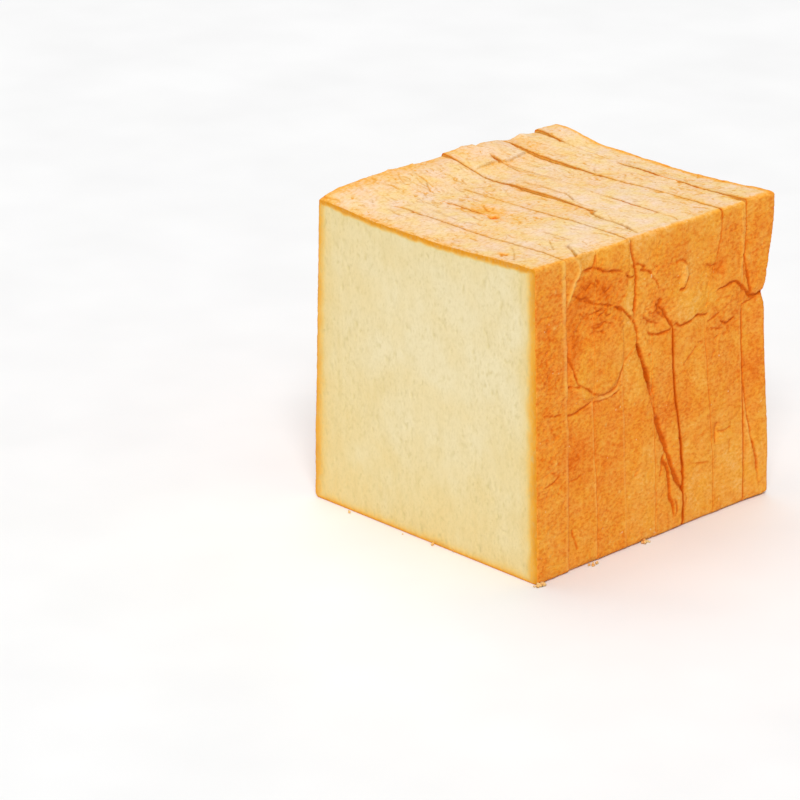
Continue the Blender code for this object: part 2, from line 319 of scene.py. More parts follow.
# The plain side: points along and up. The baked end: points across and up.
PLAIN_CREASES = [
    (0.36, 0.5, 0.3, [(8, 96), (14, 94.6), (20, 95.4), (27, 93)]),
    (0.30, 0.3, 0.2, [(33, 101), (40, 99.6), (46.5, 100.6)]),
    (0.36, 0.6, 0.4, [(58, 88), (66, 86), (73, 86.6), (82, 84.4), (90, 85)]),
    (0.28, 0.3, 0.2, [(70, 95), (77, 93.4), (84, 94.4)]),
    (0.30, 0.3, 0.2, [(96, 70), (103, 69), (110, 70.6), (119, 70)]),
    (0.26, 0.25, 0.1, [(16, 62), (24, 61), (31, 62.2)]),
    (0.26, 0.25, 0.1, [(6, 34), (13, 33), (19, 34.4)]),
    (0.28, 0.3, 0.2, [(84, 30), (92, 28.6), (101, 29.8)]),
]
HEEL_CREASES = [
    (0.50, 0.5, 0.4, [(50, 84), (42, 82.6), (33, 83.4), (24, 81.6)]),
    (0.45, 0.3, 0.2, [(52, 71), (44, 71.8), (36, 70.6)]),
    (0.45, 0.4, 0.3, [(30, 96), (21, 95), (10, 96.4), (2, 95.2)]),
    (0.40, 0.25, 0.2, [(-14, 84), (-22, 82.8), (-31, 84)]),
    (0.40, 0.25, 0.2, [(18, 46), (28, 44.8), (38, 46)]),
    (0.40, 0.2, 0.1, [(-38, 30), (-28, 28.8), (-18, 29.8)]),
]
# Top crust: (half width, depth, how far the bank on its left stands up, points across and along).
TOP_CREASES = [
    (0.4, 0.9, 0.2, [(19, 60.3), (22.7, 59.4), (26.7, 56.9), (35.6, 56), (44, 55), (51, 52.4)]),
    (0.26, 0.5, 0.2, [(-18, 64.6), (-11, 65.8), (-3, 65.7), (5.8, 65), (13, 62)]),
    (0.24, 0.4, 0.1, [(-25, 46.8), (-23.4, 51), (-21.8, 57.5)]),
    (0.3, 0.3, 0.8, [(-36.2, 61), (-36.8, 66), (-37.2, 72), (-36.1, 75),
                     (-35.6, 79), (-36.6, 84), (-38.4, 91)]),
    (0.5, 0.9, 0.2, [(-41.4, 75.4), (-38.6, 74.4), (-36, 74.6)]),
    (0.3, 0.5, 0.1, [(-37, 74.4), (-32.4, 76.2), (-24.8, 77.0), (-17.9, 77.2), (-10, 78)]),
    (0.34, 0.8, 0.5, [(42, 26), (46.4, 24), (50, 22), (53.5, 19.6)]),
    (0.4, 0.5, 0.0, [(31.8, 4.9), (33.5, 4.4), (35.6, 4.8)]),
    (0.34, 0.35, 0.0, [(-37.6, 11.6), (-36.3, 10.7), (-35.2, 9.6)]),
    (0.26, 0.35, 0.0, [(-38, 38.6), (-33, 35.2), (-28, 33.6)]),
    (0.22, 0.3, 0.0, [(-30, 44.6), (-26.8, 43.6), (-23, 42.8)]),
    (0.22, 0.3, 0.0, [(-30, 26.4), (-24, 25.2), (-16.6, 24.6)]),
    (0.24, 0.3, 0.1, [(-16, 21), (-8, 20), (0, 19.4), (6, 21.6)]),
    (0.24, 0.35, 0.0, [(36, 24.4), (40, 21.4), (43, 18.6)]),
    (0.24, 0.3, 0.0, [(30, 12), (34, 9), (38, 5), (41, 2)]),
    (0.22, 0.25, 0.0, [(-12, 97.6), (-8, 93.6), (-4, 91)]),
]
# The flap of dough on the side: its middle and half size, along and up, how far it stands out,
# how square its outline is, how far above its middle it ends, fading, and how domed it is.
FLAP = (29.4, 77.0, 13.4, 16.0)
FLAP_RISE = 1.5
FLAP_POWER = 2.5
FLAP_TOP, FLAP_FADE = 12.0, 16.0
FLAP_DOME = 0.35

# Sunken and raised spots: (middle, middle, half size, half size, rise).
SIDE_SPOTS = [
    (74.4, 94.6, 1.5, 3.4, 0.8),
    (27, 110, 4.5, 2.6, -0.7),
    (35, 114, 12.0, 5.0, -0.9),
    (91.9, 31, 1.2, 3.0, -0.7),
    (92.6, 92.2, 2.4, 2.4, -0.7),
    (60.5, 80.0, 5.0, 3.2, -0.9),
    (76, 84, 8.5, 7.5, 0.7),
    (62, 96, 8.0, 7.0, 0.4),
    (98, 79, 7.0, 5.0, 0.5),
    (54.5, 40, 5.5, 22.0, 0.4),
    (88, 50, 11.0, 20.0, 0.4),
    (23.5, 92, 5.0, 12.0, -0.5),
    # small pale blisters of the skin
    (34.1, 49.4, 0.5, 0.6, 0.3),
    (48.4, 53.1, 0.5, 0.5, 0.3),
    (41.0, 22.9, 0.6, 0.5, 0.3),
    (31.2, 23.4, 0.4, 0.5, 0.25),
    (58.6, 20.1, 0.5, 0.5, 0.25),
    (5.8, 9.3, 0.6, 0.5, 0.3),
    (8.9, 42.2, 0.5, 0.6, 0.3),
    (8.8, 90.5, 0.6, 0.5, 0.3),
    (14.8, 82.2, 0.4, 0.6, 0.25),
    (9.4, 103.0, 0.5, 0.6, 0.3),
]
BLISTER_SIZE = 0.7  # spots narrower than this are blisters, which are paler too
# Small hollows of the side's skin, and pits of the top crust.
HOLLOW_SIZES, HOLLOW_DEPTH = (2.0, 2.8, 1.5), 0.8
PIT_SIZES, PIT_DEPTH = (1.6, 1.0, 1.0), 0.7
# Where the side's skin is puckered into small hollows: (along, up, half size, half size, share).
PUCKERS = [
    (32, 94, 13.0, 11.0, 1.0),
    (60, 83, 8.0, 6.0, 0.8),
    (96, 75, 10.0, 6.0, 0.7),
    (7, 80, 6.0, 26.0, 0.5),
]
TOP_SPOTS = [
    (3.6, 30.3, 1.7, 1.5, -1.0),
    (-1.4, 34.5, 8.0, 4.6, -0.5),
    (-47, 80, 7.0, 14.0, 0.7),
    (30, 36, 14.0, 9.0, 0.35),
    (-20, 10, 16.0, 7.0, 0.3),
    (18, 80, 22.0, 9.0, 0.3),
    (52, 33, 5.0, 12.0, -0.8),
    (-52.5, 100.5, 3.0, 3.0, 1.1),
    (-52, 70, 3.0, 2.0, 0.5),
    (-53, 46, 2.5, 1.6, 0.35),
    (-53, 33, 2.5, 2.0, 0.5),
    (-53, 20, 2.5, 1.6, 0.35),
    (-53, 9, 2.0, 1.2, 0.3),
    (-53, 77, 2.5, 1.2, -0.4),
    (-53, 88, 2.5, 2.0, 0.4),
]
# How brown each part of the crust is before its patches, from 0, pale, to 1, deep brown.
# The top's pale value is partly its own pale crust and partly painted sheen and bright overhead light.
SIDE_BROWNING, TOP_BROWNING_AND_SHEEN, QUIET_BROWNING, FOOT_BROWNING = 0.55, 0.07, 0.53, 0.62
# Of the side's browning above the first of these, the second is the share that is taken off.
DEEP_BROWNING, DEEP_SHARE = 0.70, 0.55
# Darker and paler patches of the side crust: (along, up, half size, half size, browning).
SIDE_PATCHES = [
    # Painted shadow of the first slice's proud edge, just past the first cut.
    (17.8, 82, 3.6, 17.0, 0.16),
    (23, 97, 8.0, 7.0, 0.16),
    (33, 98, 9.0, 6.0, 0.08),
    (19.4, 42, 6.0, 6.5, 0.28),
    (50.4, 46, 11.0, 7.0, 0.12),
    (78, 45, 17.0, 6.0, 0.12),
    (106, 54, 14.0, 6.0, 0.08),
    (113, 48, 6.0, 11.0, 0.12),
    (7, 78, 6.0, 18.0, 0.06),
    (33, 73, 11.0, 11.0, 0.08),
    (27, 110.5, 5.0, 3.0, -0.12),
    (80, 82, 10.0, 6.0, -0.08),
    (56, 88, 7.0, 14.0, -0.05),
    # Painted shade in the gully above the folds that meet at the head of the fifth cut.
    (60.6, 85, 3.2, 4.0, 0.30),
    (19.5, 84, 3.4, 7.0, 0.20),
    (34.4, 98, 3.0, 2.4, 0.20),
    (92.4, 92.1, 2.6, 3.0, 0.25),
    (25.5, 101, 4.0, 3.0, 0.18),
    (46.4, 104, 2.0, 8.0, -0.14),
    (46.2, 91, 2.4, 6.5, -0.22),
    (58.6, 88.4, 2.6, 3.0, 0.14),
    (33, 68, 9.0, 8.0, 0.03),
    (117, 42, 5.0, 34.0, -0.09),
    (22, 18, 24.0, 20.0, 0.04),
    (101, 16, 22.0, 26.0, -0.11),
]
TOP_PATCHES = [
    (-1.4, 34.5, 9.0, 5.5, 0.16),
    (3.9, 30.2, 1.6, 1.3, 0.85),
    (16, 34, 8.0, 6.0, 0.06),
    (-40, 75, 9.0, 12.0, 0.08),
    (-44, 96, 7.0, 5.0, 0.14),
    (16, 57, 10.0, 3.0, 0.08),
    (33.5, 4.6, 3.2, 1.6, 0.25),
    (-52, 30, 6.0, 30.0, 0.12),
]


def ramp(value, start, end):
    """Rises smoothly from 0 at start to 1 at end."""
    t = np.clip((value - start) / (end - start), 0.0, 1.0)
    return t * t * (3 - 2 * t)


def hump(value, middle, half_width):
    """A smooth hump, 1 in the middle and 0 from the half width outwards."""
    return np.clip(1 - ((value - middle) / half_width) ** 2, 0.0, 1.0) ** 2


# ---------------------------------------------------------------- noise
# Layers of noise: (strength, size or sizes of the lumps, seed).
CUT_WANDER = [(0.25, 7.0, 71), (0.12, 2.2, 72)]
SKIN = [
    (0.30, 26.0, 1),
    (0.14, 9.0, 2),
    (0.09, 3.4, 3),
    (0.05, (1.6, 2.2, 1.3), 4),
    (0.025, (0.95, 1.4, 0.9), 10),
]
SIDE_CLOUDS = [(0.07, 17.0, 31), (0.05, 5.0, 32)]
QUIET_CLOUDS = [(0.09, 22.0, 31), (0.06, 6.0, 32)]
# How far creases stray from their smooth lines: coarse and fine (strength, size of the lumps).
SIDE_WAVER = [(0.35, 5.0), (0.2, 1.7)]
TOP_WAVER = [(0.5, 6.0), (0.25, 1.8)]
QUIET_WAVER = [(0.5, 5.0), (0.25, 1.7)]
TURN = np.array(Matrix.Rotation(0.7, 3, Vector((0.3, 0.9, 0.5)).normalized()))


def lattice(place, seed):
    """A repeatable number from -1 to 1 for each whole-number place."""
    x, y, z = place
    mixed = (x * 374761393 + y * 668265263 + z * 1440662683 + seed * 1013904223) & 0x7FFFFFFF
    mixed = ((mixed ^ (mixed >> 13)) * 1274126177) & 0x7FFFFFFF
    mixed = ((mixed ^ (mixed >> 16)) * 974711231) & 0x7FFFFFFF
    return (mixed ^ (mixed >> 15)) / 0x3FFFFFFF - 1.0


def noise(x, y, z, size, seed):
    """Smooth noise, about -1 to 1, with lumps of the given size or sizes in millimetres."""
    points = np.stack(np.broadcast_arrays(x, y, z)).reshape(3, -1) / np.reshape(size, (-1, 1))
    points = TURN @ points
    base = np.floor(points)
    part = points - base
    fade = part * part * part * (part * (part * 6 - 15) + 10)
    base = base.astype(np.int64)
    total = 0.0
    for corner in itertools.product((0, 1), repeat=3):
        offset = np.array(corner).reshape(3, 1)
        weight = np.prod(np.where(offset == 1, fade, 1 - fade), axis=0)
        away = part - offset
        slope = [lattice(base + offset, seed * 3 + axis) for axis in range(3)]
        total = total + weight * sum(s * a for s, a in zip(slope, away))
    return (total * 1.6).reshape(np.broadcast(x, y, z).shape)


def layered(x, y, z, layers):
    """The sum of layers of noise: (strength, size of its lumps, seed)."""
    return sum(strength * noise(x, y, z, size, seed) for strength, size, seed in layers)


# ---------------------------------------------------------------- the loaf's form
def bend(height, foot, waist, brow):
    """Goes smoothly from the foot's value through the waist's to the brow's."""
    below = foot + (waist - foot) * ramp(height, FOOT, WAIST)
    return below + (brow - waist) * ramp(height, WAIST, BROW)


def half_width(height):
    """Half the loaf's width at a height."""
    return HALF_TOP + FLARE * (1 - height / HEIGHT)


def creased_share(across):
    """0 at the plain side and 1 at the creased side, in a straight line between them."""
    return (across + HALF_TOP) / TOP_WIDTH


def cut_place(cut, across, height):
    """How far along the loaf a cut lies."""
    share = creased_share(across)
    return cut * SLICE_PITCH + share * bend(height, *CUT_BEND[cut]) + (1 - share) * SLANT.get(cut, 0.0)


def heel_place(across, height):
    """How far along the loaf its baked end lies."""
    pinch = HEEL_PINCH * np.exp(-(((height - WAIST - PINCH_ABOVE_WAIST) / PINCH_SIZE) ** 2))
    bulge = BACK_BULGE * hump(across, 0, HALF_TOP + FLARE) * hump(height, HEIGHT / 2, HEIGHT * 0.7)
    return LENGTH + creased_share(across) * (bend(height, *HEEL_BEND) - pinch) + bulge


def heel_rim(height):
    """The radius of the heel's rounded rim at a height."""
    return HEEL_RIM_FOOT + (HEEL_RIM_TOP - HEEL_RIM_FOOT) * height / HEIGHT


def top_rise(slice_number, across, along):
    """How far the top crust lies above the nominal height."""
    ridge = RIDGE_RISE * ramp(-across, -RIDGE_START, -RIDGE_END)
    ridge = ridge * (1 - np.exp(-(along + RIDGE_LEAD) / RIDGE_RUN))
    ridge = ridge * (1 - RIDGE_SINK * ramp(along, SINK_START, SINK_END))
    dip = DIP_DEPTH * hump(across, 0, HALF_TOP) * np.exp(-along / DIP_REACH)
    steps = [
        rise * hump(across, middle, half_size)
        for proud, middle, half_size, rise in PROUD_SLICES
        if proud == slice_number
    ]
    return ridge - dip + sum(steps)


def lift_share(height):
    """How much of the top crust's rise a point at this nominal height takes part in."""
    return ramp(height, LIFT_START, HEIGHT)


def wander(cut, across, height):
    """How far a cut strays from its even course."""
    along = np.full(np.shape(across), cut * SLICE_PITCH)
    return layered(across, along, height, CUT_WANDER)


def stretch(value, low, high, outside, inside):
    """1 from low to high and 0 elsewhere, with soft ends that reach outside and inside."""
    return ramp(value, low - outside, low + inside) * (1 - ramp(value, high - inside, high + outside))


def gap_width(cut, across, height):
    """How wide a cut stands open, at the crust and fading inwards."""
    width = np.full(np.shape(across), CLOSED_GAP)
    top_depth = HEIGHT - height
    for openings, outward in ((SIDE_OPENINGS, across), (PLAIN_OPENINGS, -across)):
        side_depth = half_width(height) - outward
        for low, high, wide in openings.get(cut, []):
            here = stretch(height, low, high, 2, 3)
            width = width + wide * here * (1 - ramp(side_depth, GAP_START, GAP_END))
    for low, high, wide in TOP_OPENINGS.get(cut, []):
        here = stretch(across, low, high, 1.5, 2)
        width = width + wide * here * (1 - ramp(top_depth, GAP_START, GAP_END))
    return width


# ---------------------------------------------------------------- relief of the crust
def spline(points, steps=7):
    """A smooth line through the points."""
    p = np.array([points[0], *points, points[-1]], float)
    line = []
    for a, b, c, d in zip(p, p[1:], p[2:], p[3:]):
        bow, twist = 2 * a - 5 * b + 4 * c - d, 3 * b - a - 3 * c + d
        for t in np.arange(steps) / steps:
            line.append(0.5 * (2 * b + (c - a) * t + bow * t**2 + twist * t**3))
    return np.array([*line, points[-1]])


def near_line(a, b, line):
    """The signed distance from each place to a line, left positive, and how far along it."""
    nearest = np.full(a.shape, np.inf)
    signed = np.zeros(a.shape)
    share = np.zeros(a.shape)
    lengths = np.hypot(*np.diff(line, axis=0).T)
    ends = np.concatenate([[0.0], np.cumsum(lengths)]) / lengths.sum()
    for i, ((a0, b0), (a1, b1)) in enumerate(zip(line, line[1:])):
        da, db = a1 - a0, b1 - b0
        t = np.clip(((a - a0) * da + (b - b0) * db) / (da * da + db * db), 0.0, 1.0)
        away_a, away_b = a - a0 - t * da, b - b0 - t * db
        distance = np.hypot(away_a, away_b)
        closer = distance < nearest
        nearest = np.where(closer, distance, nearest)
        signed = np.where(closer, np.copysign(distance, da * away_b - db * away_a), signed)
        share = np.where(closer, ends[i] + t * (ends[i + 1] - ends[i]), share)
    return signed, share


def carve(a, b, creases, height, crack, edge=None):
    """Carves creases into the height, or raises the ones with a negative depth, and marks both: the
    carved ones with painted shade, the raised ones as pale edges.
    """
    for number, (half, depth, lip, points) in enumerate(creases):
        half, depth = WIDER * half, SHALLOWER * depth
        line = spline(points)
        reach = 4 * half + (LIP_REACH * 2.5 if lip else 0)
        low, high = line.min(axis=0) - reach, line.max(axis=0) + reach
        near = np.flatnonzero((a > low[0]) & (a < high[0]) & (b > low[1]) & (b < high[1]))
        if not near.size:
            continue
        distance, share = near_line(a[near], b[near], line)
        fade = ramp(share, 0, CREASE_ENDS) * ramp(1 - share, 0, CREASE_ENDS)
        reached = share * np.hypot(*np.diff(line, axis=0).T).sum()
        swell = 1 + SWELL * noise(reached, 9.1 * number, 0.0, SWELL_SIZE, 81)
        cleft = fade * np.clip(swell, 0.3, 1.4) * np.exp(-((distance / (half * swell)) ** 2))
        valley = 0.75 * cleft + 0.25 * fade * np.exp(-((distance / (3.0 * half)) ** 2))
        side = distance * math.copysign(1, lip)
        bank = abs(lip) * fade * ramp(side, -half, half) * np.exp(-np.abs(side) / LIP_REACH)
        height[near] += bank - depth * valley
        if depth > 0:
            # A carved crease is marked for painted shade.
            crack[near] = np.maximum(crack[near], np.minimum(1.0, cleft * (0.25 + depth)))
        elif edge is not None:
            edge[near] = np.maximum(edge[near], cleft * min(0.9, -1.7 * depth))


def scratches(count, seed, low, high, lean, spread, longest=2.6):
    """Short shallow wrinkles at seeded places, as creases."""
    rng = np.random.default_rng(seed)
    made = []
    for _ in range(count):
        middle = rng.uniform(low, high)
        angle = lean + rng.normal(0, spread)
        length = rng.uniform(SHORTEST_SCRATCH, longest)
        along = np.array([math.cos(angle), math.sin(angle)]) * length
        sideways = np.array([-along[1], along[0]]) * rng.uniform(-SCRATCH_BEND, SCRATCH_BEND)
        points = [tuple(middle - along), tuple(middle + sideways), tuple(middle + along)]
        size = [rng.uniform(*ends) for ends in (SCRATCH_HALVES, SCRATCH_DEPTHS, SCRATCH_LIPS)]
        made.append((*size, points))
    return made


def all_scratches(groups):
    """The scratches of several groups, in one list."""
    return [scratch for group in groups for scratch in scratches(*group)]


# Groups of scratches: (how many, seed, lowest and highest place, lean, spread of it, longest).
SIDE_SCRATCHES = all_scratches([
    (80, 11, (15, 74), (LENGTH, 108), 0.15, 0.5),
    (60, 12, (0, 4), (LENGTH, 74), 0.1, 0.7),
    (90, 13, (0.5, 30), (14.5, 108), 0.1, 0.6),
    (18, 14, (20, 84), (44, 99), 0.2, 0.4),
    (16, 15, (51, 77), (70, 101), -0.5, 0.4),
    (16, 16, (84, 66), (104, 80), 0.2, 0.4),
])
TOP_SCRATCHES = all_scratches([
    (150, 21, (-50, 0), (51, LENGTH), 0.1, 0.5),
    (90, 24, (-50, 0), (51, LENGTH), 0.05, 0.25, 5.0),
    (60, 22, (-45, 24), (-5, 60), -0.4, 0.4),
    (50, 23, (-10, 95), (45, LENGTH), 0.0, 0.9),
])
PLAIN_SCRATCHES = all_scratches([
    (110, 31, (1, 72), (LENGTH, 108), 0.1, 0.7),
    (110, 32, (1, 4), (LENGTH, 74), 0.1, 0.6),
    (22, 33, (4, 60), (LENGTH - 4, 104), 0.0, 0.25, 5.0),
])
HEEL_SCRATCHES = all_scratches([
    (100, 34, (-50, 70), (50, 108), 0.1, 0.7),
    (90, 35, (-50, 4), (50, 72), 0.1, 0.6),
    (18, 36, (-46, 60), (46, 104), 0.0, 0.25, 5.0),
])


def spots(a, b, table):
    """The sum of soft spots over the places."""
    total = np.zeros(a.shape)
    for middle_a, middle_b, half_a, half_b, rise in table:
        total += rise * np.exp(-(((a - middle_a) / half_a) ** 2) - ((b - middle_b) / half_b) ** 2)
    return total


def skin(x, y, z):
    """The skin's own unevenness: slow waves, pebbles and grain."""
    return layered(x, y, z, SKIN)


def waver(x, y, z, waves, seed):
    """How far creases stray here, in one direction."""
    return layered(x, y, z, [(*wave, seed + i) for i, wave in enumerate(waves)])


def flap(a, b):
    """How far the flap of dough stands out, and how much of each place lies on it."""
    middle_a, middle_b, half_a, half_b = FLAP
    reach = np.abs((a - middle_a) / half_a) ** FLAP_POWER
    reach = (reach + np.abs((b - middle_b) / half_b) ** FLAP_POWER) ** (1 / FLAP_POWER)
    below_top = ramp(middle_b + FLAP_TOP - b, 0, FLAP_FADE)
    on_flap = below_top * (1 - ramp(reach, 0.94, 1.06))
    return FLAP_RISE * on_flap * (1 - FLAP_DOME * reach), on_flap


def side_browning(x, y, z, height, wrinkles, hollows):
    """How brown the creased side is: paler at its foot and brow, with painted shade darkening its
    folds and hollows and painted light on its raised parts.
    """
    browning = SIDE_BROWNING + spots(y, z, SIDE_PATCHES)
    browning -= 0.06 * (1 - ramp(z, 8, 52)) + 0.06 * ramp(z, 100, 110) + 0.16 * ramp(z, 110.5, 113.5)
    browning += layered(x, y, z, SIDE_CLOUDS)
    # Painted shade in the wrinkles and hollows, and painted light on the raised parts.
    browning += 0.18 * wrinkles + 0.45 * hollows - 0.12 * np.clip(height, 0, 1)
    return browning - DEEP_SHARE * np.clip(browning - DEEP_BROWNING, 0, None)


def side_relief(x, y, z):
    """Height, painted shade of the cracks, browning and pale edges of the creased side."""
    a, b = y + waver(x, y, z, SIDE_WAVER, 5), z + waver(x, y, z, SIDE_WAVER, 7)
    crack, edge, wrinkles = np.zeros((3, y.size))
    flap_height, on_flap = flap(a, b)
    height = skin(x, y, z) + spots(y, z, SIDE_SPOTS) + flap_height
    first_slice = 1 - ramp(y, 13.5, 14.5)
    puckered = np.maximum(first_slice, ramp(z, 70, 86) * (1 - ramp(z, 104, 112)))
    height += 0.12 * (0.45 + puckered - 0.3 * on_flap) * noise(x, y, z, (1.1, 2.8, 0.9), 9)
    hollows = np.clip(noise(x, y, z, HOLLOW_SIZES, 44) - 0.12, 0, 1) * spots(y, z, PUCKERS)
    height -= HOLLOW_DEPTH * hollows
    carve(a, b, SIDE_CREASES, height, crack, edge)
    carve(y, z, SIDE_SCRATCHES, height, wrinkles)
    blisters = [spot for spot in SIDE_SPOTS if spot[2] < BLISTER_SIZE]
    edge = np.maximum(edge, 3.0 * spots(y, z, blisters))
    browning = side_browning(x, y, z, height, wrinkles, hollows)
    return np.array([height, np.maximum(crack, 0.12 * wrinkles), browning, edge])


def top_relief(x, y, z):
    """Height, painted shade of the cracks, browning and pale edges of the top crust."""
    a, b = x + waver(x, y, z, TOP_WAVER, 5), y + waver(x, y, z, TOP_WAVER, 7)
    crack, wrinkles = np.zeros((2, y.size))
    height = 1.1 * skin(x, y, z) + spots(x, y, TOP_SPOTS)
    height += 0.09 * noise(x, y, z, (2.2, 1.1, 1.1), 9)
    pits = np.clip(noise(x, y, z, PIT_SIZES, 42) - 0.55, 0, 1)
    height -= PIT_DEPTH * pits
    carve(a, b, TOP_CREASES, height, crack)
    carve(x, y, TOP_SCRATCHES, height, wrinkles)
    # The pale base is partly painted sheen.
    browning = TOP_BROWNING_AND_SHEEN + spots(x, y, TOP_PATCHES) + 0.07 * ramp(-x, 42, 51.5)
    browning += 0.26 * ramp(np.abs(x), 50.5, 52.8) + 0.05 * noise(x, y, z, 15.0, 31)
    browning += 0.30 * ramp(y, LENGTH - 3.5, LENGTH - 0.5)
    # Painted shade in the wrinkles and pits, and painted light on the raised parts.
    browning += 0.12 * wrinkles + 0.4 * pits - 0.14 * height
    marked = TOP_MARKS * np.maximum(crack, np.maximum(0.8 * wrinkles, 1.2 * pits))
    return np.array([height, marked, browning, 0 * height])


def quiet_relief(x, y, z, sideways, creases, fine_creases):
    """The relief of a side with few creases, whose places run sideways and up."""
    a, b = sideways + waver(x, y, z, QUIET_WAVER, 7), z + waver(x, y, z, QUIET_WAVER, 5)
    crack, wrinkles = np.zeros((2, y.size))
    height = skin(x, y, z) + 0.12 * noise(x, y, z, (1.4, 2.2, 1.2), 9)
    carve(a, b, creases, height, crack)
    carve(sideways, z, fine_creases, height, wrinkles)
    browning = QUIET_BROWNING + layered(x, y, z, QUIET_CLOUDS)
    browning -= 0.06 * (1 - ramp(z, 8, 52)) + 0.18 * ramp(z, 109, 114)
    # Painted shade in the wrinkles, and painted light on the raised parts.
    browning += 0.18 * wrinkles - 0.12 * np.clip(height, 0, 1)
    return np.array([height, np.maximum(0.7 * crack, 0.25 * wrinkles), browning, 0 * height])


def plain_relief(x, y, z):
    """Height, painted shade of the cracks, browning and pale edges of the plain side."""
    return quiet_relief(x, y, z, y, PLAIN_CREASES, PLAIN_SCRATCHES)


def heel_relief(x, y, z):
    """Height, painted shade of the cracks, browning and pale edges of the baked end."""
    return quiet_relief(x, y, z, x, HEEL_CREASES, HEEL_SCRATCHES)


def foot_relief(x, y, z):
    """The underside is flat where it rests, and a little browner."""
    still = np.zeros(y.size)
    return np.array([still, still, FOOT_BROWNING + 0.10 * noise(x, y, z, 12.0, 31), still])


def crust_relief(x, y, z, out_x, out_z):
    """Blends the relief of the sides that meet at each point of the crust."""
    sides = [
        (side_relief, ramp(out_x, 0.25, 0.85)),
        (top_relief, ramp(out_z, 0.45, 0.95)),
        (plain_relief, ramp(-out_x, 0.25, 0.85)),
        (foot_relief, ramp(-out_z, 0.35, 0.9)),
    ]
    total, weight = np.zeros((4, x.size)), np.zeros(x.size)
    for relief, share in sides:
        here = np.flatnonzero(share > 0)
        if here.size:
            total[:, here] += share[here] * relief(x[here], y[here], z[here])
            weight[here] += share[here]
    return total / weight


def opened(cut, across, height):
    """How far a cut stands open here, 0 to 1."""
    return np.clip((gap_width(cut, across, height) - CLOSED_GAP) / WIDE_GAP, 0, 1)


def rounded_off(distance, radius):
    """How far a rounded edge falls away at a distance from its end."""
    inside = np.clip(1 - distance / radius, 0, 1)
    return radius * (1 - np.sqrt(1 - inside**2))


def light_edge(edges, cut, distance, height):
    """How light the crust is beside a cut, for its distance before the cut."""
    total = np.zeros(np.shape(height))
    for low, high, wide, strength in edges.get(cut, []):
        here = ramp(height, low - 3, low + 3) * (1 - ramp(height, high - 2, high + 3))
        total = total + strength * here * (1 - ramp(distance, wide * 0.5, wide * 1.2))
    return total


# ---------------------------------------------------------------- one slice's mesh
def arc(middle_x, middle_z, radius, start_degrees, steps):
    """Points on a quarter round, anticlockwise, without its last point."""
    turns = np.radians(start_degrees + 90 * np.arange(steps) / steps)
    return np.column_stack([middle_x + radius * np.cos(turns), middle_z + radius * np.sin(turns)])


def run(start, end, step):
    """Points on a straight run, without its last point."""
    start, end = np.array(start, float), np.array(end, float)
    count = max(1, round(np.linalg.norm(end - start) / step))
    return start + (end - start) * (np.arange(count) / count)[:, None]


def section_outline():
    """The loaf's section as points, with the outward direction and the map strip of each.

    It runs anticlockwise, seen from the cut face, from the middle of the bottom right corner.
    """
    half, top, foot = HALF_TOP, TOP_RADIUS, BOTTOM_RADIUS
    corners = [
        arc(half - foot, foot, foot, -90, CORNER_POINTS),
        arc(half - top, HEIGHT - top, top, 0, CORNER_POINTS),
        arc(top - half, HEIGHT - top, top, 90, CORNER_POINTS),
        arc(foot - half, foot, foot, 180, FOOT_CORNER_POINTS),
    ]
    runs = [
        run((half, foot), (half, HEIGHT - top), SIDE_STEP),
        run((half - top, HEIGHT), (top - half, HEIGHT), TOP_STEP),
        run((-half, HEIGHT - top), (-half, foot), PLAIN_STEP),
        run((foot - half, 0), (half - foot, 0), FOOT_STEP),
    ]
    sides = []
    for corner, straight, after in zip(corners, runs, corners[1:] + corners[:1]):
        halves = corner[len(corner) // 2 :], straight, after[: len(after) // 2]
        sides.append(np.concatenate(halves))
    points = np.concatenate(sides)
    strip = np.repeat(np.arange(4), [len(side) for side in sides])
    points[:, 0] *= half_width(points[:, 1]) / HALF_TOP
    tangent = np.roll(points, -1, axis=0) - np.roll(points, 1, axis=0)
    tangent /= np.linalg.norm(tangent, axis=1, keepdims=True)
    return points, np.column_stack([tangent[:, 1], -tangent[:, 0]]), strip


CRUST, CRUMB = 0, 1  # the places of a slice's two materials


class Shell:
    """Collects the points, triangles, map places and marks of one closed mesh."""

    MARKS = ("browning", "crack", "edge", "rim", "pore")

    def __init__(self):
        self.points, self.marks = [], {name: [] for name in self.MARKS}
        self.triangles, self.places, self.materials = [], [], []
        self.count = 0

    def add_points(self, points, **marks):
        """Adds points with their marks, and gives the number of the first."""
        first = self.count
        self.points.append(points)
        for name in self.MARKS:
            self.marks[name].append(np.broadcast_to(marks.get(name, 0.0), len(points)))
        self.count += len(points)
        return first

    def add_triangles(self, triangles, places, material):
        self.triangles.append(triangles)
        self.places.append(places)
        self.materials.append(np.full(len(triangles), material))

    def build(self, name, materials, shift):
        """Makes the object, in metres."""
        points = (np.concatenate(self.points) + shift) * MM
        triangles = np.concatenate(self.triangles)
        mesh = bpy.data.meshes.new(name)
        mesh.from_pydata(points.tolist(), [], triangles.tolist())
        places = mesh.uv_layers.new(name="OFBake")
        places.data.foreach_set("uv", np.concatenate(self.places).astype(np.float32).ravel())
        mesh.polygons.foreach_set("material_index", np.concatenate(self.materials).astype(np.int32))
        for mark, values in self.marks.items():
            layer = mesh.attributes.new(mark, "FLOAT", "POINT")
            layer.data.foreach_set("value", np.concatenate(values).astype(np.float32))
        for material in materials:
            mesh.materials.append(material)
        mesh.shade_smooth()
        mesh.set_sharp_from_angle(angle=SHARP_ANGLE)
        made = bpy.data.objects.new(name, mesh)
        bpy.context.scene.collection.objects.link(made)
        return made


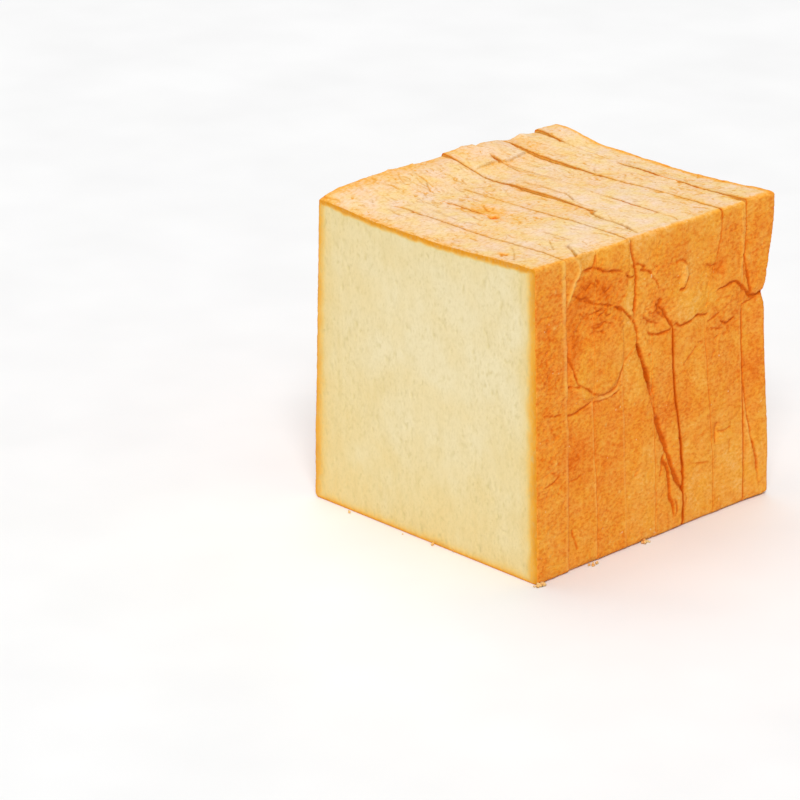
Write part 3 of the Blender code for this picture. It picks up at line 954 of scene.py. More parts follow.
def grid_triangles(rows, columns, first, wraps=False):
    """Triangles of a grid of points, and the grid's row and column of each of their corners."""
    r = np.arange(rows - 1)[:, None]
    c = np.arange(columns if wraps else columns - 1)[None, :]
    r, c = (v.ravel() for v in np.broadcast_arrays(r, c))
    corners = [(r, c), (r, c + 1), (r + 1, c + 1), (r + 1, c)]
    picks = [(0, 1, 2), (0, 2, 3)]
    grid_rows = np.concatenate([np.column_stack([corners[i][0] for i in pick]) for pick in picks])
    grid_columns = np.concatenate([np.column_stack([corners[i][1] for i in pick]) for pick in picks])
    return first + grid_rows * columns + grid_columns % columns, grid_rows, grid_columns


def ring_triangles(outer, inner, count):
    """Triangles between two rings of equally many points, given their first points."""
    here = np.arange(count)
    after = (here + 1) % count
    near_outer = np.column_stack([outer + here, outer + after, inner + after])
    near_inner = np.column_stack([outer + here, inner + after, inner + here])
    return np.concatenate([near_outer, near_inner])


def zipper(outer, inner, outer_turn, inner_turn):
    """Triangles between two rings of points, given how far round each point lies."""
    triangles = []
    i = j = 0
    while i < len(outer) or j < len(inner):
        next_outer = outer_turn[i + 1] if i < len(outer) else math.inf
        next_inner = inner_turn[j + 1] if j < len(inner) else math.inf
        a, b = outer[i % len(outer)], inner[j % len(inner)]
        if next_outer <= next_inner:
            i += 1
            triangles.append((a, outer[i % len(outer)], b))
        else:
            j += 1
            triangles.append((a, inner[j % len(inner)], b))
    return np.array(triangles)


def turns_round(points):
    """How far round the section's middle each point of a ring lies, and the first point again."""
    x, z = points[:, 0] / HALF_TOP, (points[:, 1] - HEIGHT / 2) / (HEIGHT / 2)
    turn = np.unwrap(np.arctan2(z, x))
    return np.append(turn, turn[0] + 2 * math.pi)


# The share of a map's width that the front face takes, where one of the two faces shows.
FRONT_SHARES = {0: 0.76, SLICE_COUNT - 1: 0.24}


class MapLayout:
    """Where a slice's crust strips and its two faces lie in its own map, in shares of the map."""

    EDGE = 0.006  # the bare margin at a strip's two ends
    STRIP_HEIGHTS = {1: 0.13, 2: 0.075}  # for one and for two columns of strips
    STRIP_EDGE, FACE_EDGE = 0.04, 0.01  # the bare margins beside a strip and round a face
    FACE_SHAPE = 1.03  # a face's height for its width
    ACROSS_START, ACROSS = -60, 120  # the millimetres that a face's place covers
    UP_START, UP = -2, 124

    def __init__(self, front_share, strip_columns):
        self.columns = strip_columns
        self.strip_wide = 1.0 / strip_columns
        self.strip_high = self.STRIP_HEIGHTS[strip_columns]
        base = self.strip_high * 4 / strip_columns
        self.faces = [
            (left, base, wide, min(1.0 - base, wide * self.FACE_SHAPE))
            for left, wide in ((0.0, front_share), (front_share, 1 - front_share))
        ]

    def strip_place(self, strip, along_share, across_share):
        """The map place of points in one strip."""
        column, row = strip % self.columns, strip // self.columns
        inner = 1 - 2 * self.EDGE
        u = column * self.strip_wide + (self.EDGE + inner * along_share) * self.strip_wide
        v = (row + self.STRIP_EDGE + (1 - 2 * self.STRIP_EDGE) * across_share) * self.strip_high
        return np.stack(np.broadcast_arrays(u, v), axis=-1)

    def face_place(self, face, points):
        """The map place of points of the front face, 0, or the back face, 1."""
        left, low, wide, high = self.faces[face]
        across = (points[..., 0] - self.ACROSS_START) / self.ACROSS
        up = (points[..., 2] - self.UP_START) / self.UP
        across, up = (self.FACE_EDGE + (1 - 2 * self.FACE_EDGE) * share for share in (across, up))
        return np.stack([left + wide * across, low + high * up], axis=-1)


def pores_of(x, z, seed):
    """How deep in a pore of the crumb each place lies, 0 to 1."""
    y = np.full(np.shape(x), 7.3 * seed)
    large = np.clip(noise(x, y, z, (1.5, 1.5, 2.6), 51 + seed) - 0.22, 0, 1) * 1.5
    small = np.clip(noise(x, y, z, (0.75, 1.0, 1.15), 52 + seed) - 0.10, 0, 1) * 0.9
    clustered = 0.75 + 0.5 * noise(x, y, z, 14.0, 53)
    return np.clip((large + small) * clustered, 0, 1)


PORE_DEPTH = 0.22  # in the first cut face
# Single larger pores of the first cut face: (across, up, half width, half height, depth).
FACE_PORES = [
    (-44.5, 98.8, 0.8, 1.4, 0.7),
    (-37.0, 68.2, 0.7, 2.0, 0.9),
    (18.8, 86.7, 0.7, 1.9, 0.7),
    (26.7, 77.1, 0.6, 1.1, 0.5),
    (12.8, 50.2, 0.8, 1.9, 0.6),
    (-8.0, 95.2, 0.9, 0.8, 0.5),
    (28.5, 49.6, 0.6, 0.7, 0.5),
    (7.7, 100.2, 2.6, 0.9, 0.4),
    (-19.6, 100.6, 1.2, 1.6, 0.4),
    (23.6, 92.1, 1.8, 1.0, 0.3),
    (-42.0, 42.0, 0.7, 1.3, 0.5),
]


def crust_depth(points):
    """How far each point of the section lies from the sides, the top and the underside."""
    x, z = points[:, 0] * HALF_TOP / half_width(points[:, 1]), points[:, 1]
    beside = HALF_TOP - np.abs(x)
    return beside, HEIGHT - z, z


def rim_share_and_shade(points):
    """How strongly the cut face is browned by the crust beside each point, with painted shade towards
    the foot, 0 to 1.
    """
    x, z = points.T
    beside, below_top, above_foot = crust_depth(points)
    uneven = 1 + 0.22 * noise(x, 0 * x, z, 6.0, 61)
    ragged = uneven + 0.18 * noise(x, 0 * x, z, 3.0, 62)
    # Beside the sides the browning is deep and soft, and weaker on the plain side.
    side = 0.50 * (1 - ramp(beside / uneven, 0.7, 4.8)) + 0.32 * np.exp(-beside / 1.8)
    side = (side + 0.08 * (1 - ramp(beside, 3, 9))) * (1 - 0.28 * ramp(-x, 0, 40))
    # Under the top crust it is a narrow line with a ragged edge.
    top = 1 - ramp(below_top / ragged, 1.1, 3.0)
    foot = 0.8 * np.exp(-above_foot / (1.2 * uneven))
    # The crumb yellows a little towards all crusts and the plain side, and towards the foot with
    # painted shade.
    broad = 0.05 * np.exp(-np.min([beside, below_top, above_foot], axis=0) / 13)
    broad = broad + 0.04 * ramp(-x, 0, HALF_TOP) + 0.09 * (1 - ramp(above_foot, 0, 75))
    return np.clip(np.maximum(np.maximum(side, top), foot) + broad, 0, 1)


def is_baked_end(slice_number, at_back):
    """Whether this end of a slice is the loaf's baked end, which no knife cut."""
    return at_back and slice_number == SLICE_COUNT - 1


def cut_at(slice_number, at_back):
    """The number of the cut at one end of a slice: 0 is the loaf's first face."""
    return slice_number + int(at_back)


def cut_surface(slice_number, at_back):
    """How far along the loaf one cut face of a slice lies, as a function of across and up."""
    cut = cut_at(slice_number, at_back)
    if cut == 0:
        return lambda x, z: 0.0 * x
    sign = -1 if at_back else 1
    return lambda x, z: cut_place(cut, x, z) + wander(cut, x, z) + sign * gap_width(cut, x, z) / 2


def wall_crack(cut, x, z):
    """Painted shade on the walls of a cut: dark where it gapes on the side, and not at the top."""
    return WALL_SHADE_STRENGTH * opened(cut, x, z) * (1 - ramp(z, HEIGHT - 6, HEIGHT - 3))


def add_rings(shell, slice_number, at_back, outline, outward, height):
    """Adds narrow rings of cut face inside the crust's edge, and gives their first points."""
    surface = cut_surface(slice_number, at_back)
    cut = cut_at(slice_number, at_back)
    firsts = []
    for inset in RING_INSETS:
        offset = height * (1 - inset / FACE_MARGIN) - inset
        x, z = (outline + outward * offset[:, None]).T
        y = surface(x, z)
        points = np.column_stack([x, y, z + top_rise(slice_number, x, y) * lift_share(outline[:, 1])])
        # The rings' marks carry painted shade towards the foot and on the cut's walls.
        rim = rim_share_and_shade(outline - outward * inset) * (WALL_RIM if cut else 1.0)
        firsts.append(shell.add_points(points, rim=rim, crack=wall_crack(cut, x, z)))
    return firsts


def heel_face(section, margin):
    """The baked end over the places of a section: across, along and its marks."""
    x, z = section.T
    inside = np.min(crust_depth(section), axis=0)
    y = heel_place(x, z)
    height, crack, browning, _ = heel_relief(x, y, z)
    fold = np.exp(-(((z - WAIST - FOLD_ABOVE_WAIST) / FOLD_SIZE) ** 2)) * creased_share(x)
    y = y + height * ramp(inside, margin - 0.5, margin + 4) - FOLD_DEPTH * fold
    x = x + HEEL_SPREAD * ramp(x, 0, HALF_TOP)
    # The fold over the baked end is darkened with painted shade.
    return x, y, {"browning": browning, "crack": np.maximum(crack, fold)}


def add_large_pores(x, z, pore):
    """The pores of the first cut face, together with its single larger ones."""
    warp = 0.3 * noise(x, 0 * x, z, 1.6, 55)
    for across, up, half_x, half_z, depth in FACE_PORES:
        within = ((x + warp - across) / half_x) ** 2 + ((z + warp - up) / half_z) ** 2
        pore = np.maximum(pore, depth * np.exp(-within))
    return pore


def cut_face(section, slice_number, at_back):
    """A cut face over the places of a section: how far along it lies, and its marks."""
    x, z = section.T
    cut = cut_at(slice_number, at_back)
    y = cut_surface(slice_number, at_back)(x, z)
    pore = pores_of(x, z, slice_number)
    if cut == 0:
        pore = add_large_pores(x, z, pore)
        pitted = PORE_DEPTH * pore * ramp(np.min(crust_depth(section), axis=0), 1.5, 3.0)
        y = y + pitted + 0.12 * noise(x, 0 * x, z, 20.0, 56)
    # The face's marks carry painted shade on the cut's walls and towards its foot.
    return y, {"rim": rim_share_and_shade(section), "crack": wall_crack(cut, x, z), "pore": pore}


def face_places(margin, step):
    """A grid of places on the section inside a margin, and its rows and columns."""
    columns = round((TOP_WIDTH - 2 * margin) / step)
    rows = round((HEIGHT - 2 * margin) / step)
    u = np.linspace(-1, 1, columns)[None, :]
    z = np.linspace(margin, HEIGHT - margin, rows)[:, None]
    places = np.broadcast_arrays(u * (half_width(z) - margin), z)
    return np.column_stack([place.ravel() for place in places]), rows, columns


def join_border(ring, outline, border, places):
    """Triangles between a ring of points and the border of a grid, whose places are given."""
    ring_turn = turns_round(outline)
    start = np.argmin(np.abs(turns_round(places)[:-1] - ring_turn[0]))
    border, places = np.roll(border, -start), np.roll(places, -start, axis=0)
    return zipper(ring, border, ring_turn, turns_round(places))


def add_face(shell, layout, slice_number, at_back, ring, outline):
    """Closes one end of a slice with a grid of points, joined to the last ring of points."""
    baked_end = is_baked_end(slice_number, at_back)
    if baked_end:
        margin = FACE_MARGIN + HEEL_RIM_FOOT
        section, rows, columns = face_places(margin, HEEL_STEP)
        x, y, marks = heel_face(section, margin)
    else:
        step = HIDDEN_STEP if cut_at(slice_number, at_back) else FACE_STEP
        section, rows, columns = face_places(FACE_MARGIN, step)
        x = section[:, 0]
        y, marks = cut_face(section, slice_number, at_back)
    z = section[:, 1]
    lifted = z + top_rise(slice_number, x, y) * lift_share(z)
    first = shell.add_points(np.column_stack([x, y, lifted]), **marks)
    triangles, _, _ = grid_triangles(rows, columns, first)
    index = first + np.arange(rows * columns).reshape(rows, columns)
    border = np.concatenate([index[:-1, -1], index[-1, :0:-1], index[:0:-1, 0], index[0, :-1]])
    joined = join_border(ring, outline, border, section[border - first])
    triangles = np.concatenate([triangles, joined])
    place_triangles(shell, layout, triangles, at_back, CRUST if baked_end else CRUMB)


def place_triangles(shell, layout, triangles, at_back, material):
    """Adds triangles of an end face, turned to face outwards, at their place in the map."""
    if at_back:
        triangles = triangles[:, ::-1]
    everything = np.concatenate(shell.points)
    shell.add_triangles(triangles, layout.face_place(int(at_back), everything[triangles]), material)


def slice_steps(slice_number, outline):
    """Where each layer of a slice's crust lies: how far along, and how far inside the outline."""
    x, z = outline.T
    is_heel = is_baked_end(slice_number, True)
    rim = heel_rim(z)
    front = cut_surface(slice_number, False)(x, z)
    back = heel_place(x, z) - rim if is_heel else cut_surface(slice_number, True)(x, z)
    inner_front, inner_back = front + END_LAYERS[-1], back - END_LAYERS[-1]
    count = round((SLICE_PITCH - 2 * END_LAYERS[-1]) / LAYER_STEP)
    layers = [front + reach for reach in END_LAYERS[:-1]]
    layers += [inner_front + (inner_back - inner_front) * i / count for i in range(count + 1)]
    layers += [back - reach for reach in END_LAYERS[-2::-1]]
    steps = [(layer, 0.0 * x) for layer in layers]
    if is_heel:
        for i in range(1, RIM_LAYERS + 1):
            angle = math.pi / 2 * i / RIM_LAYERS
            steps.append((back + rim * math.sin(angle), rim * (1 - math.cos(angle))))
    return steps


def smooth_band(slice_number, outline, outward):
    """The crust of one slice before its relief: a row of places for each layer."""
    along, inset = (np.array(part) for part in zip(*slice_steps(slice_number, outline)))
    nominal_z, out_x, out_z = (np.broadcast_to(v, along.shape) for v in (outline[:, 1], *outward.T))
    return SimpleNamespace(
        x=outline[:, 0] - out_x * inset,
        along=along,
        z=nominal_z - out_z * inset,
        inset=inset,
        nominal_z=nominal_z,
        out_x=out_x,
        out_z=out_z,
        creased=ramp(out_x, 0.3, 0.9),
        plain=ramp(-out_x, 0.3, 0.9),
        upward=np.clip(out_z, 0, 1),
    )


def mark_band(band, slice_number):
    """Gives a band of crust its height, the painted shade of its cracks, its browning with each
    slice's painted light and shade, and pale edges.
    """
    flat = [v.ravel() for v in (band.x, band.along, band.z, band.out_x, band.out_z)]
    marks = crust_relief(*flat)
    rim = heel_rim(band.z)
    if is_baked_end(slice_number, True):
        onto_heel = ramp(band.inset / rim, 0.1, 0.9).ravel()
        marks = marks + onto_heel * (heel_relief(*flat[:3]) - marks)
    height, band.crack, browning, band.edge = marks.reshape(4, *band.along.shape)
    height = height + SLICE_PROUD[slice_number] * band.creased
    for stepped, middle, half_size, rise, reach in TOP_STEPS:
        if stepped == slice_number:
            near = np.exp(-(band.along - band.along[0]) / reach)
            height = height + rise * near * hump(band.x, middle, half_size) * band.upward
    band.height = height * (1 - ramp(band.inset, 0.2 * rim, rim))
    # Each slice's own painted light and shade on the creased side.
    band.browning = browning + SLICE_SHADING[slice_number] * band.creased


def finish_edge(band, cut, at_back):
    """Rounds the crust's edge at a cut, and marks it where it is pale, or with painted shade where the
    cut gapes.
    """
    distance = np.abs(band.along - band.along[-1 if at_back else 0])
    on_top = ramp(band.out_z, 0.5, 0.9)
    if cut == 0:
        band.height -= rounded_off(distance, FRONT_ROUND)
        band.browning += HALO * np.exp(-distance / FRONT_HALO_REACH) * on_top
        return
    if at_back:
        pale = light_edge(LIGHT_EDGES, cut, distance, band.z) * band.creased
        pale = pale + light_edge(PLAIN_EDGES, cut, distance, band.z) * band.plain
        pale = pale * (0.8 + 0.5 * noise(band.x, band.along, band.z, 4.0, 33))
        band.edge = np.maximum(band.edge, pale)
        band.height += EDGE_RISE * pale
    open_here = opened(cut, band.x, band.nominal_z)
    band.height -= rounded_off(distance, CLOSED_ROUND + (OPEN_ROUND - CLOSED_ROUND) * open_here)
    shown = 1 - (1 - TOP_MARKS) * band.upward
    # Painted shade where the cut gapes.
    band.crack = np.maximum(band.crack, shown * open_here * np.exp(-distance / OPEN_CUT_SHADE_REACH))
    band.browning += HALO * open_here * np.exp(-distance / HALO_REACH) * on_top


def crust_band(slice_number, outline, outward):
    """The crust of one slice: its points, layer by layer, its marks, and the relief's height."""
    band = smooth_band(slice_number, outline, outward)
    mark_band(band, slice_number)
    for at_back in (False, True):
        if not is_baked_end(slice_number, at_back):
            finish_edge(band, cut_at(slice_number, at_back), at_back)
    spread = HEEL_SPREAD * ramp(band.along, SPREAD_START, SPREAD_END) * np.clip(band.out_x, 0, 1)
    x = band.x + band.out_x * (band.height + spread)
    z = band.z + band.out_z * band.height
    z += top_rise(slice_number, band.x, band.along) * lift_share(band.nominal_z)
    points = np.stack([x, band.along, np.maximum(z, 0.0)], axis=-1)
    return points, {"browning": band.browning, "crack": band.crack, "edge": band.edge}, band.height


def strip_places(layout, strip, rows, columns, layers):
    """The map places of the crust's triangles, from the row and column of their corners."""
    strips = strip[columns.min(axis=1)][:, None]
    starts = np.array([np.flatnonzero(strip == s)[0] for s in range(4)])
    along_share = (columns - starts[strips]) / np.bincount(strip)[strips]
    return layout.strip_place(strips, along_share, rows / (layers - 1))


def build_slice(slice_number, materials, shift):
    """One slice: its crust band, its two faces, and the marks that its materials read."""
    outline, outward, strip = section_outline()
    points, marks, height = crust_band(slice_number, outline, outward)
    layers, count = points.shape[:2]
    marks = {name: mark.ravel() for name, mark in marks.items()}
    shell = Shell()
    first = shell.add_points(points.reshape(-1, 3), rim=1.0, **marks)
    shows_end = slice_number in FRONT_SHARES
    layout = MapLayout(FRONT_SHARES.get(slice_number, 0.5), 2 if shows_end else 1)
    grid = grid_triangles(layers, count, first, wraps=True)
    triangles, rows, columns = (corners[:, ::-1] for corners in grid)
    shell.add_triangles(triangles, strip_places(layout, strip, rows, columns, layers), CRUST)
    for at_back in (False, True):
        last = layers - 1 if at_back else 0
        rings = [first + last * count]
        if not is_baked_end(slice_number, at_back):
            rings += add_rings(shell, slice_number, at_back, outline, outward, height[last])
        for outer, inner in zip(rings, rings[1:]):
            place_triangles(shell, layout, ring_triangles(outer, inner, count), at_back, CRUMB)
        add_face(shell, layout, slice_number, at_back, rings[-1] + np.arange(count), outline)
    return shell.build(f"bread_slice_{slice_number + 1}", materials, shift)


# ---------------------------------------------------------------- materials
class Nodes:
    """Builds a node tree with short calls."""

    def __init__(self, name):
        self.material = bpy.data.materials.new(name)
        self.material.use_nodes = True
        self.tree = self.material.node_tree
        self.shader = self.tree.nodes["Principled BSDF"]

    def value_of(self, socket, value):
        if isinstance(value, bpy.types.NodeSocket):
            self.tree.links.new(value, socket)
        else:
            socket.default_value = value

    def attribute(self, name):
        node = self.tree.nodes.new("ShaderNodeAttribute")
        node.attribute_name = name
        return node.outputs["Fac"]

    def math(self, operation, a, b=0.0, clamp=False):
        node = self.tree.nodes.new("ShaderNodeMath")
        node.operation = operation
        node.use_clamp = clamp
        self.value_of(node.inputs[0], a)
        self.value_of(node.inputs[1], b)
        return node.outputs[0]

    def times(self, a, b, clamp=False):
        return self.math("MULTIPLY", a, b, clamp)

    def plus(self, a, b, clamp=False):
        return self.math("ADD", a, b, clamp)

    def around(self, factor, middle, amount):
        """How far a factor lies from its middle, times an amount."""
        return self.times(self.math("SUBTRACT", factor, middle), amount)

    def noise(self, scale_mm, detail=2.0, stretch=(1, 1, 1)):
        """Noise with lumps of about the given size in millimetres, in the object's own space."""
        place = self.tree.nodes.new("ShaderNodeTexCoord")
        mapping = self.tree.nodes.new("ShaderNodeMapping")
        mapping.inputs["Scale"].default_value = tuple(1000 / scale_mm / s for s in stretch)
        self.tree.links.new(place.outputs["Object"], mapping.inputs["Vector"])
        node = self.tree.nodes.new("ShaderNodeTexNoise")
        node.inputs["Scale"].default_value = 1.0
        node.inputs["Detail"].default_value = detail
        node.inputs["Roughness"].default_value = 0.5
        self.tree.links.new(mapping.outputs["Vector"], node.inputs["Vector"])
        return node.outputs["Fac"]

    def ramp(self, factor, stops):
        """Colours or greys along a factor: stops are (place, colour)."""
        node = self.tree.nodes.new("ShaderNodeValToRGB")
        ramp_stops = node.color_ramp.elements
        while len(ramp_stops) < len(stops):
            ramp_stops.new(0.5)
        for stop, (place, colour) in zip(ramp_stops, stops):
            stop.position = place
            stop.color = (*colour, 1.0)
        self.value_of(node.inputs["Fac"], factor)
        return node.outputs["Color"]

    def greys(self, factor, start, low, end, high):
        """A grey that goes from low at the start to high at the end."""
        return self.ramp(factor, [(start, (low,) * 3), (end, (high,) * 3)])

    def mix(self, factor, a, b, blend="MIX"):
        node = self.tree.nodes.new("ShaderNodeMix")
        node.data_type = "RGBA"
        node.blend_type = blend
        self.value_of(node.inputs["Factor"], factor)
        for socket, colour in ((node.inputs[6], a), (node.inputs[7], b)):
            self.value_of(socket, (*colour, 1.0) if isinstance(colour, tuple) else colour)
        return node.outputs[2]

    def bump(self, height, distance_mm, strength):
        node = self.tree.nodes.new("ShaderNodeBump")
        node.inputs["Strength"].default_value = strength
        node.inputs["Distance"].default_value = distance_mm * MM
        self.tree.links.new(height, node.inputs["Height"])
        self.tree.links.new(node.outputs["Normal"], self.shader.inputs["Normal"])

    def finish(self, colour, roughness, specular=0.5):
        """Sets the shader's colour, roughness and shine, and gives the material."""
        self.value_of(self.shader.inputs["Base Color"], colour)
        self.value_of(self.shader.inputs["Roughness"], roughness)
        self.shader.inputs["Specular IOR Level"].default_value = specular
        return self.material


CRUST_COLOURS = [
    (0.00, (0.880, 0.655, 0.466)),
    (0.12, (0.870, 0.570, 0.322)),
    (0.25, (0.905, 0.468, 0.126)),
    (0.40, (0.885, 0.386, 0.056)),
    (0.55, (0.862, 0.305, 0.034)),
    (0.70, (0.825, 0.224, 0.019)),
    (0.85, (0.780, 0.164, 0.006)),
    (1.00, (0.660, 0.120, 0.003)),
]
WHITE = (1.0, 1.0, 1.0)
# Painted shade of creases and cracks, on a browned crust and on a pale one.
CRACK_SHADE_COLOUR = (0.610, 0.115, 0.001)
PALE_CRACK_SHADE_COLOUR = (0.250, 0.110, 0.032)  # where the crust itself is pale
GOLDEN_TINT = (1.0, 0.98, 0.66)
# Painted shade on the skin's pebbles.
PEBBLE_SHADE_TINT = (0.93, 0.91, 0.88)
# Painted shade on the walls of open cuts.
WALL_SHADE_COLOUR = (0.770, 0.128, 0.001)
EDGE_COLOUR = (0.930, 0.500, 0.130)
SPECK_COLOUR = (0.900, 0.600, 0.300)
CRUMB_COLOURS = [
    (0.00, (0.885, 0.765, 0.475)),
    (0.10, (0.865, 0.700, 0.360)),
    (0.30, (0.890, 0.620, 0.215)),
    (0.60, (0.900, 0.460, 0.068)),
    (1.00, (0.790, 0.300, 0.012)),
]
# Painted shade in the crumb's pores.
PORE_SHADE_COLOUR = (0.64, 0.52, 0.22)
ALONG_THE_LOAF = (1, 1.5, 1)  # how the skin's pebbles and grain are stretched


def crust_material():
    """Baked skin: golden to orange brown, pebbled, with painted shade in its creases and on its
    pebbles, and a few pale specks.
    """
    n = Nodes("crust")
    pebbles = n.noise(1.1, 1.0, stretch=ALONG_THE_LOAF)
    grain = n.noise(0.5, 2.0, stretch=ALONG_THE_LOAF)
    crack = n.math("MINIMUM", n.attribute("crack"), 1.0)
    base = n.attribute("browning")
    # The painted shade of cracks browns a pale crust less, and the skin's unevenness shows less on it.
    browning = n.plus(base, n.times(n.times(crack, 0.50), n.times(base, 1.9, clamp=True)))
    contrast = n.math("MINIMUM", n.plus(n.times(base, 1.1), 0.40), 1.0)
    for part, amount in ((pebbles, 0.48), (grain, 0.32), (n.noise(6.0, 3.0), 0.36)):
        browning = n.plus(browning, n.times(n.around(part, 0.5, amount), contrast))
    colour = n.ramp(n.plus(browning, 0.0, clamp=True), CRUST_COLOURS)
    colour = n.mix(n.times(n.attribute("edge"), 0.95, clamp=True), colour, EDGE_COLOUR)
    golden = n.ramp(n.noise(7.0, 3.0), [(0.35, WHITE), (0.65, GOLDEN_TINT)])
    colour = n.mix(1.0, colour, golden, "MULTIPLY")
    # Painted shade on the pebbles.
    pebble_shade = n.ramp(pebbles, [(0.50, WHITE), (0.64, PEBBLE_SHADE_TINT)])
    colour = n.mix(1.0, colour, pebble_shade, "MULTIPLY")
    specks = n.greys(n.noise(1.3, 0.0), 0.84, 0.0, 0.89, 0.6)
    colour = n.mix(specks, colour, SPECK_COLOUR)
    # Painted shade in the cracks.
    crack_colour = n.ramp(base, [(0.15, PALE_CRACK_SHADE_COLOUR), (0.45, CRACK_SHADE_COLOUR)])
    colour = n.mix(n.times(crack, 0.66), colour, crack_colour)
    n.bump(n.plus(n.times(pebbles, 0.8), n.times(grain, 0.5)), 0.7, 0.45)
    return n.finish(colour, n.greys(pebbles, 0.3, 0.50, 0.7, 0.70), specular=0.08)


def crumb_material():
    """Soft white crumb: cream, with fine upright pores darkened by painted shade, browned next to the
    crust, and with painted shade on the walls of open cuts.
    """
    n = Nodes("crumb")
    cells = n.noise(0.9, 2.0, stretch=(1, 1, 1.7))
    fibres = n.noise(3.0, 3.0, stretch=(1, 1, 3.0))
    clouds = n.noise(16.0, 2.0)
    rim = n.attribute("rim")
    rim = n.plus(rim, n.around(fibres, 0.5, n.times(rim, 0.8)))
    rim = n.plus(rim, n.around(clouds, 0.45, 0.20), clamp=True)
    colour = n.ramp(rim, CRUMB_COLOURS)
    # Painted shade in the pores: the fine cells, the upright streaks and the pore mark.
    colour = n.mix(n.greys(cells, 0.48, 0.0, 0.75, 0.22), colour, PORE_SHADE_COLOUR)
    colour = n.mix(n.greys(fibres, 0.45, 0.0, 0.75, 0.15), colour, PORE_SHADE_COLOUR)
    colour = n.mix(n.times(n.attribute("pore"), 0.50, clamp=True), colour, PORE_SHADE_COLOUR)
    # Painted shade on the walls of open cuts.
    colour = n.mix(n.times(n.attribute("crack"), 1.35, clamp=True), colour, WALL_SHADE_COLOUR)
    n.bump(n.math("SUBTRACT", n.times(fibres, 0.4), n.times(cells, 0.8)), 0.4, 0.45)
    return n.finish(colour, 0.85, specular=0.05)


def floor_material():
    """A pale matt studio floor."""
    n = Nodes("floor")
    return n.finish(n.greys(n.noise(60.0, 2.0), 0.3, 0.86, 0.7, 0.90), 0.6)


# ---------------------------------------------------------------- crumbs
# Where crumbs lie beside the creased side: (along, how far out, how many, spread).
CRUMB_HEAPS = [(1.5, 1.0, 16, 1.6), (27.0, 0.8, 4, 1.6), (54.0, 0.9, 6, 1.3)]
CRUMB_SIZES = (0.25, 0.75)
FRONT_CRUMBS, FRONT_CRUMB_SIZES = 4, (0.25, 0.6)  # before the first cut face


def crumb_places(rng):
    """Seeded places for the crumbs, with their sizes, close to the loaf's foot."""
    places = []
    for along, out, count, spread in CRUMB_HEAPS:
        for _ in range(count):
            y = along + rng.normal(0, spread)
            x = half_width(0) + abs(rng.normal(out, 0.6))
            places.append((x, y, rng.uniform(*CRUMB_SIZES)))
    for _ in range(FRONT_CRUMBS):
        x, y = rng.uniform(-50, 52), -abs(rng.normal(1.0, 0.8))
        places.append((x, y, rng.uniform(*FRONT_CRUMB_SIZES)))
    return places


def build_crumbs(material, shift):
    """Small torn crumbs at the loaf's foot, as one mesh."""
    rng = np.random.default_rng(7)
    bm = bmesh.new()
    for x, y, size in crumb_places(rng):
        made = bmesh.ops.create_icosphere(bm, subdivisions=2, radius=size)
        stretch = rng.uniform(0.6, 1.3, 3)
        for vert in made["verts"]:
            out = vert.co.normalized()
            lumps = 0.35 * math.sin(out.x * 7 + x * 3) * math.cos(out.y * 6 + y)
            rough = 1 + lumps + rng.uniform(-0.1, 0.1)
            vert.co = [c * rough * s for c, s in zip(vert.co, stretch)]
        low = min(vert.co.z for vert in made["verts"])
        bmesh.ops.translate(bm, verts=made["verts"], vec=(x, y, -low))
    bmesh.ops.translate(bm, verts=bm.verts[:], vec=shift)
    bmesh.ops.scale(bm, verts=bm.verts[:], vec=(MM, MM, MM))
    mesh = bpy.data.meshes.new("crumbs")
    bm.to_mesh(mesh)
    bm.free()
    mesh.materials.append(material)
    mesh.shade_smooth()
    made = bpy.data.objects.new("crumbs", mesh)
    bpy.context.scene.collection.objects.link(made)
    return made


def crumbs_material():
    """Loose crumbs: toasted skin and cream crumb mixed."""
    n = Nodes("loose_crumbs")
    colours = [(0.35, (0.80, 0.36, 0.08)), (0.6, (0.88, 0.62, 0.26))]
    n.bump(n.noise(0.4, 2.0), 0.2, 0.6)
    return n.finish(n.ramp(n.noise(2.4, 2.0), colours), 0.8)


# ---------------------------------------------------------------- studio
# The camera's place: turned round the loaf and raised, its distance from the aim in metres, and
# how far it is moved sideways and up, in metres too.
CAMERA_TURN = math.radians(45.99)
CAMERA_RISE = math.radians(20.97)
CAMERA_DISTANCE = 1.2623
CAMERA_SIDEWAYS = -0.05157
CAMERA_UP = -0.01895
CAMERA_LENS = 159.3
SENSOR_WIDTH = 36.0
FAR_CLIP = 20.0
AIM = (0.0, 60.7, 56.6)
FLOOR_SIZE = 8.0
SURROUND_STRENGTH = 0.33
# Each sun: the direction it stands in, its strength, and its size in degrees.
SUNS = {
    "key": ((0.62, -0.62, 0.95), 2.1, 22),
    "overhead": ((-0.3, 0.1, 1.0), 1.05, 40),
}


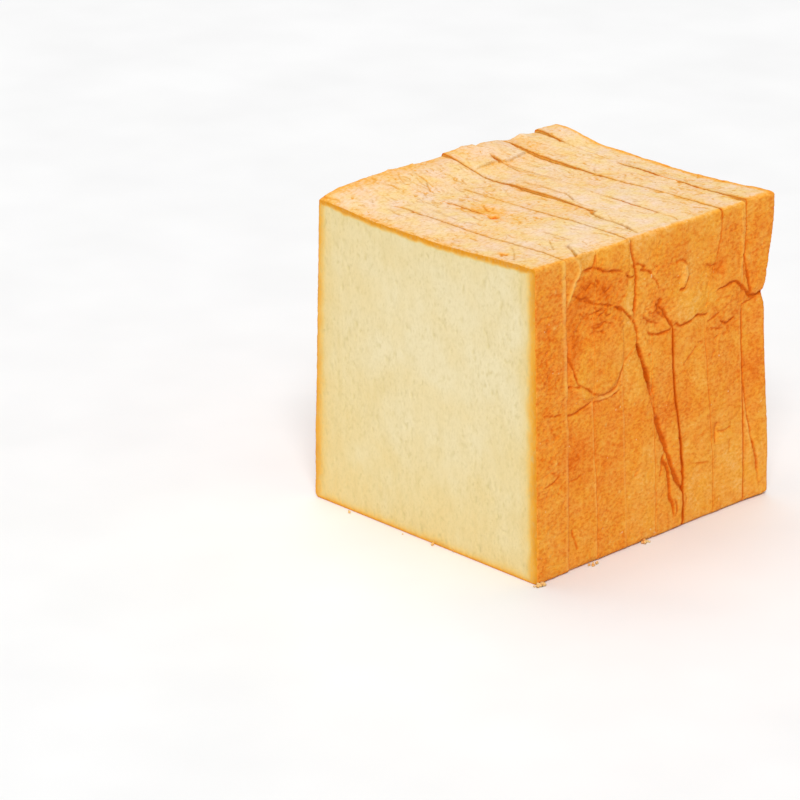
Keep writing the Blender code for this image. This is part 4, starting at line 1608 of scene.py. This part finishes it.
def build_camera(shift):
    """A long lens that looks down at the creased corner, with the loaf right of its middle."""
    level = math.cos(CAMERA_RISE)
    sideways, forwards = math.sin(CAMERA_TURN) * level, math.cos(CAMERA_TURN) * level
    back = Vector((sideways, -forwards, math.sin(CAMERA_RISE)))
    right = Vector((math.cos(CAMERA_TURN), math.sin(CAMERA_TURN), 0.0))
    up = back.cross(right)
    aim = (Vector(AIM) + Vector(shift)) * MM
    data = bpy.data.cameras.new("camera")
    data.lens = CAMERA_LENS
    data.sensor_width = SENSOR_WIDTH
    data.clip_end = FAR_CLIP
    camera = bpy.data.objects.new("camera", data)
    camera.location = aim + back * CAMERA_DISTANCE + right * CAMERA_SIDEWAYS + up * CAMERA_UP
    camera.rotation_euler = Matrix((right, up, back)).transposed().to_euler()
    bpy.context.scene.collection.objects.link(camera)
    bpy.context.scene.camera = camera


def sun(name, towards, strength, softness):
    """A soft light that shines from one direction."""
    data = bpy.data.lights.new(name, "SUN")
    data.energy = strength
    data.angle = math.radians(softness)
    light = bpy.data.objects.new(name, data)
    light.rotation_euler = Vector(towards).to_track_quat("Z", "Y").to_euler()
    bpy.context.scene.collection.objects.link(light)


def build_studio():
    """A pale floor, a white surround and two soft lights."""
    bpy.ops.mesh.primitive_plane_add(size=FLOOR_SIZE, location=(0, 0, 0))
    floor = bpy.context.object
    floor.name = "floor"
    floor.data.materials.append(floor_material())
    world = bpy.data.worlds.new("surround")
    world.use_nodes = True
    background = world.node_tree.nodes["Background"]
    background.inputs["Color"].default_value = (*WHITE, 1.0)
    background.inputs["Strength"].default_value = SURROUND_STRENGTH
    bpy.context.scene.world = world
    for name, (towards, strength, softness) in SUNS.items():
        sun(name, towards, strength, softness)


def main():
    """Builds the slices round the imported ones, the crumbs, the studio and the camera."""
    # How far the loaf's own places lie from the frame's, in millimetres.
    first_low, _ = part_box("slice_1")
    low, _ = CAD_BOUNDS
    shift = (low[0] / MM + half_width(BOTTOM_RADIUS), first_low[1] / MM, low[2] / MM)
    materials = [crust_material(), crumb_material()]
    for slice_number in range(SLICE_COUNT):
        piece = build_slice(slice_number, materials, np.array(shift))
        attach(piece, "root")
        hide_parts(f"slice_{slice_number + 1}")
    crumbs = build_crumbs(crumbs_material(), shift)
    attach(crumbs, "root")
    build_studio()
    build_camera(shift)
    bpy.context.scene.view_settings.view_transform = "Standard"


main()
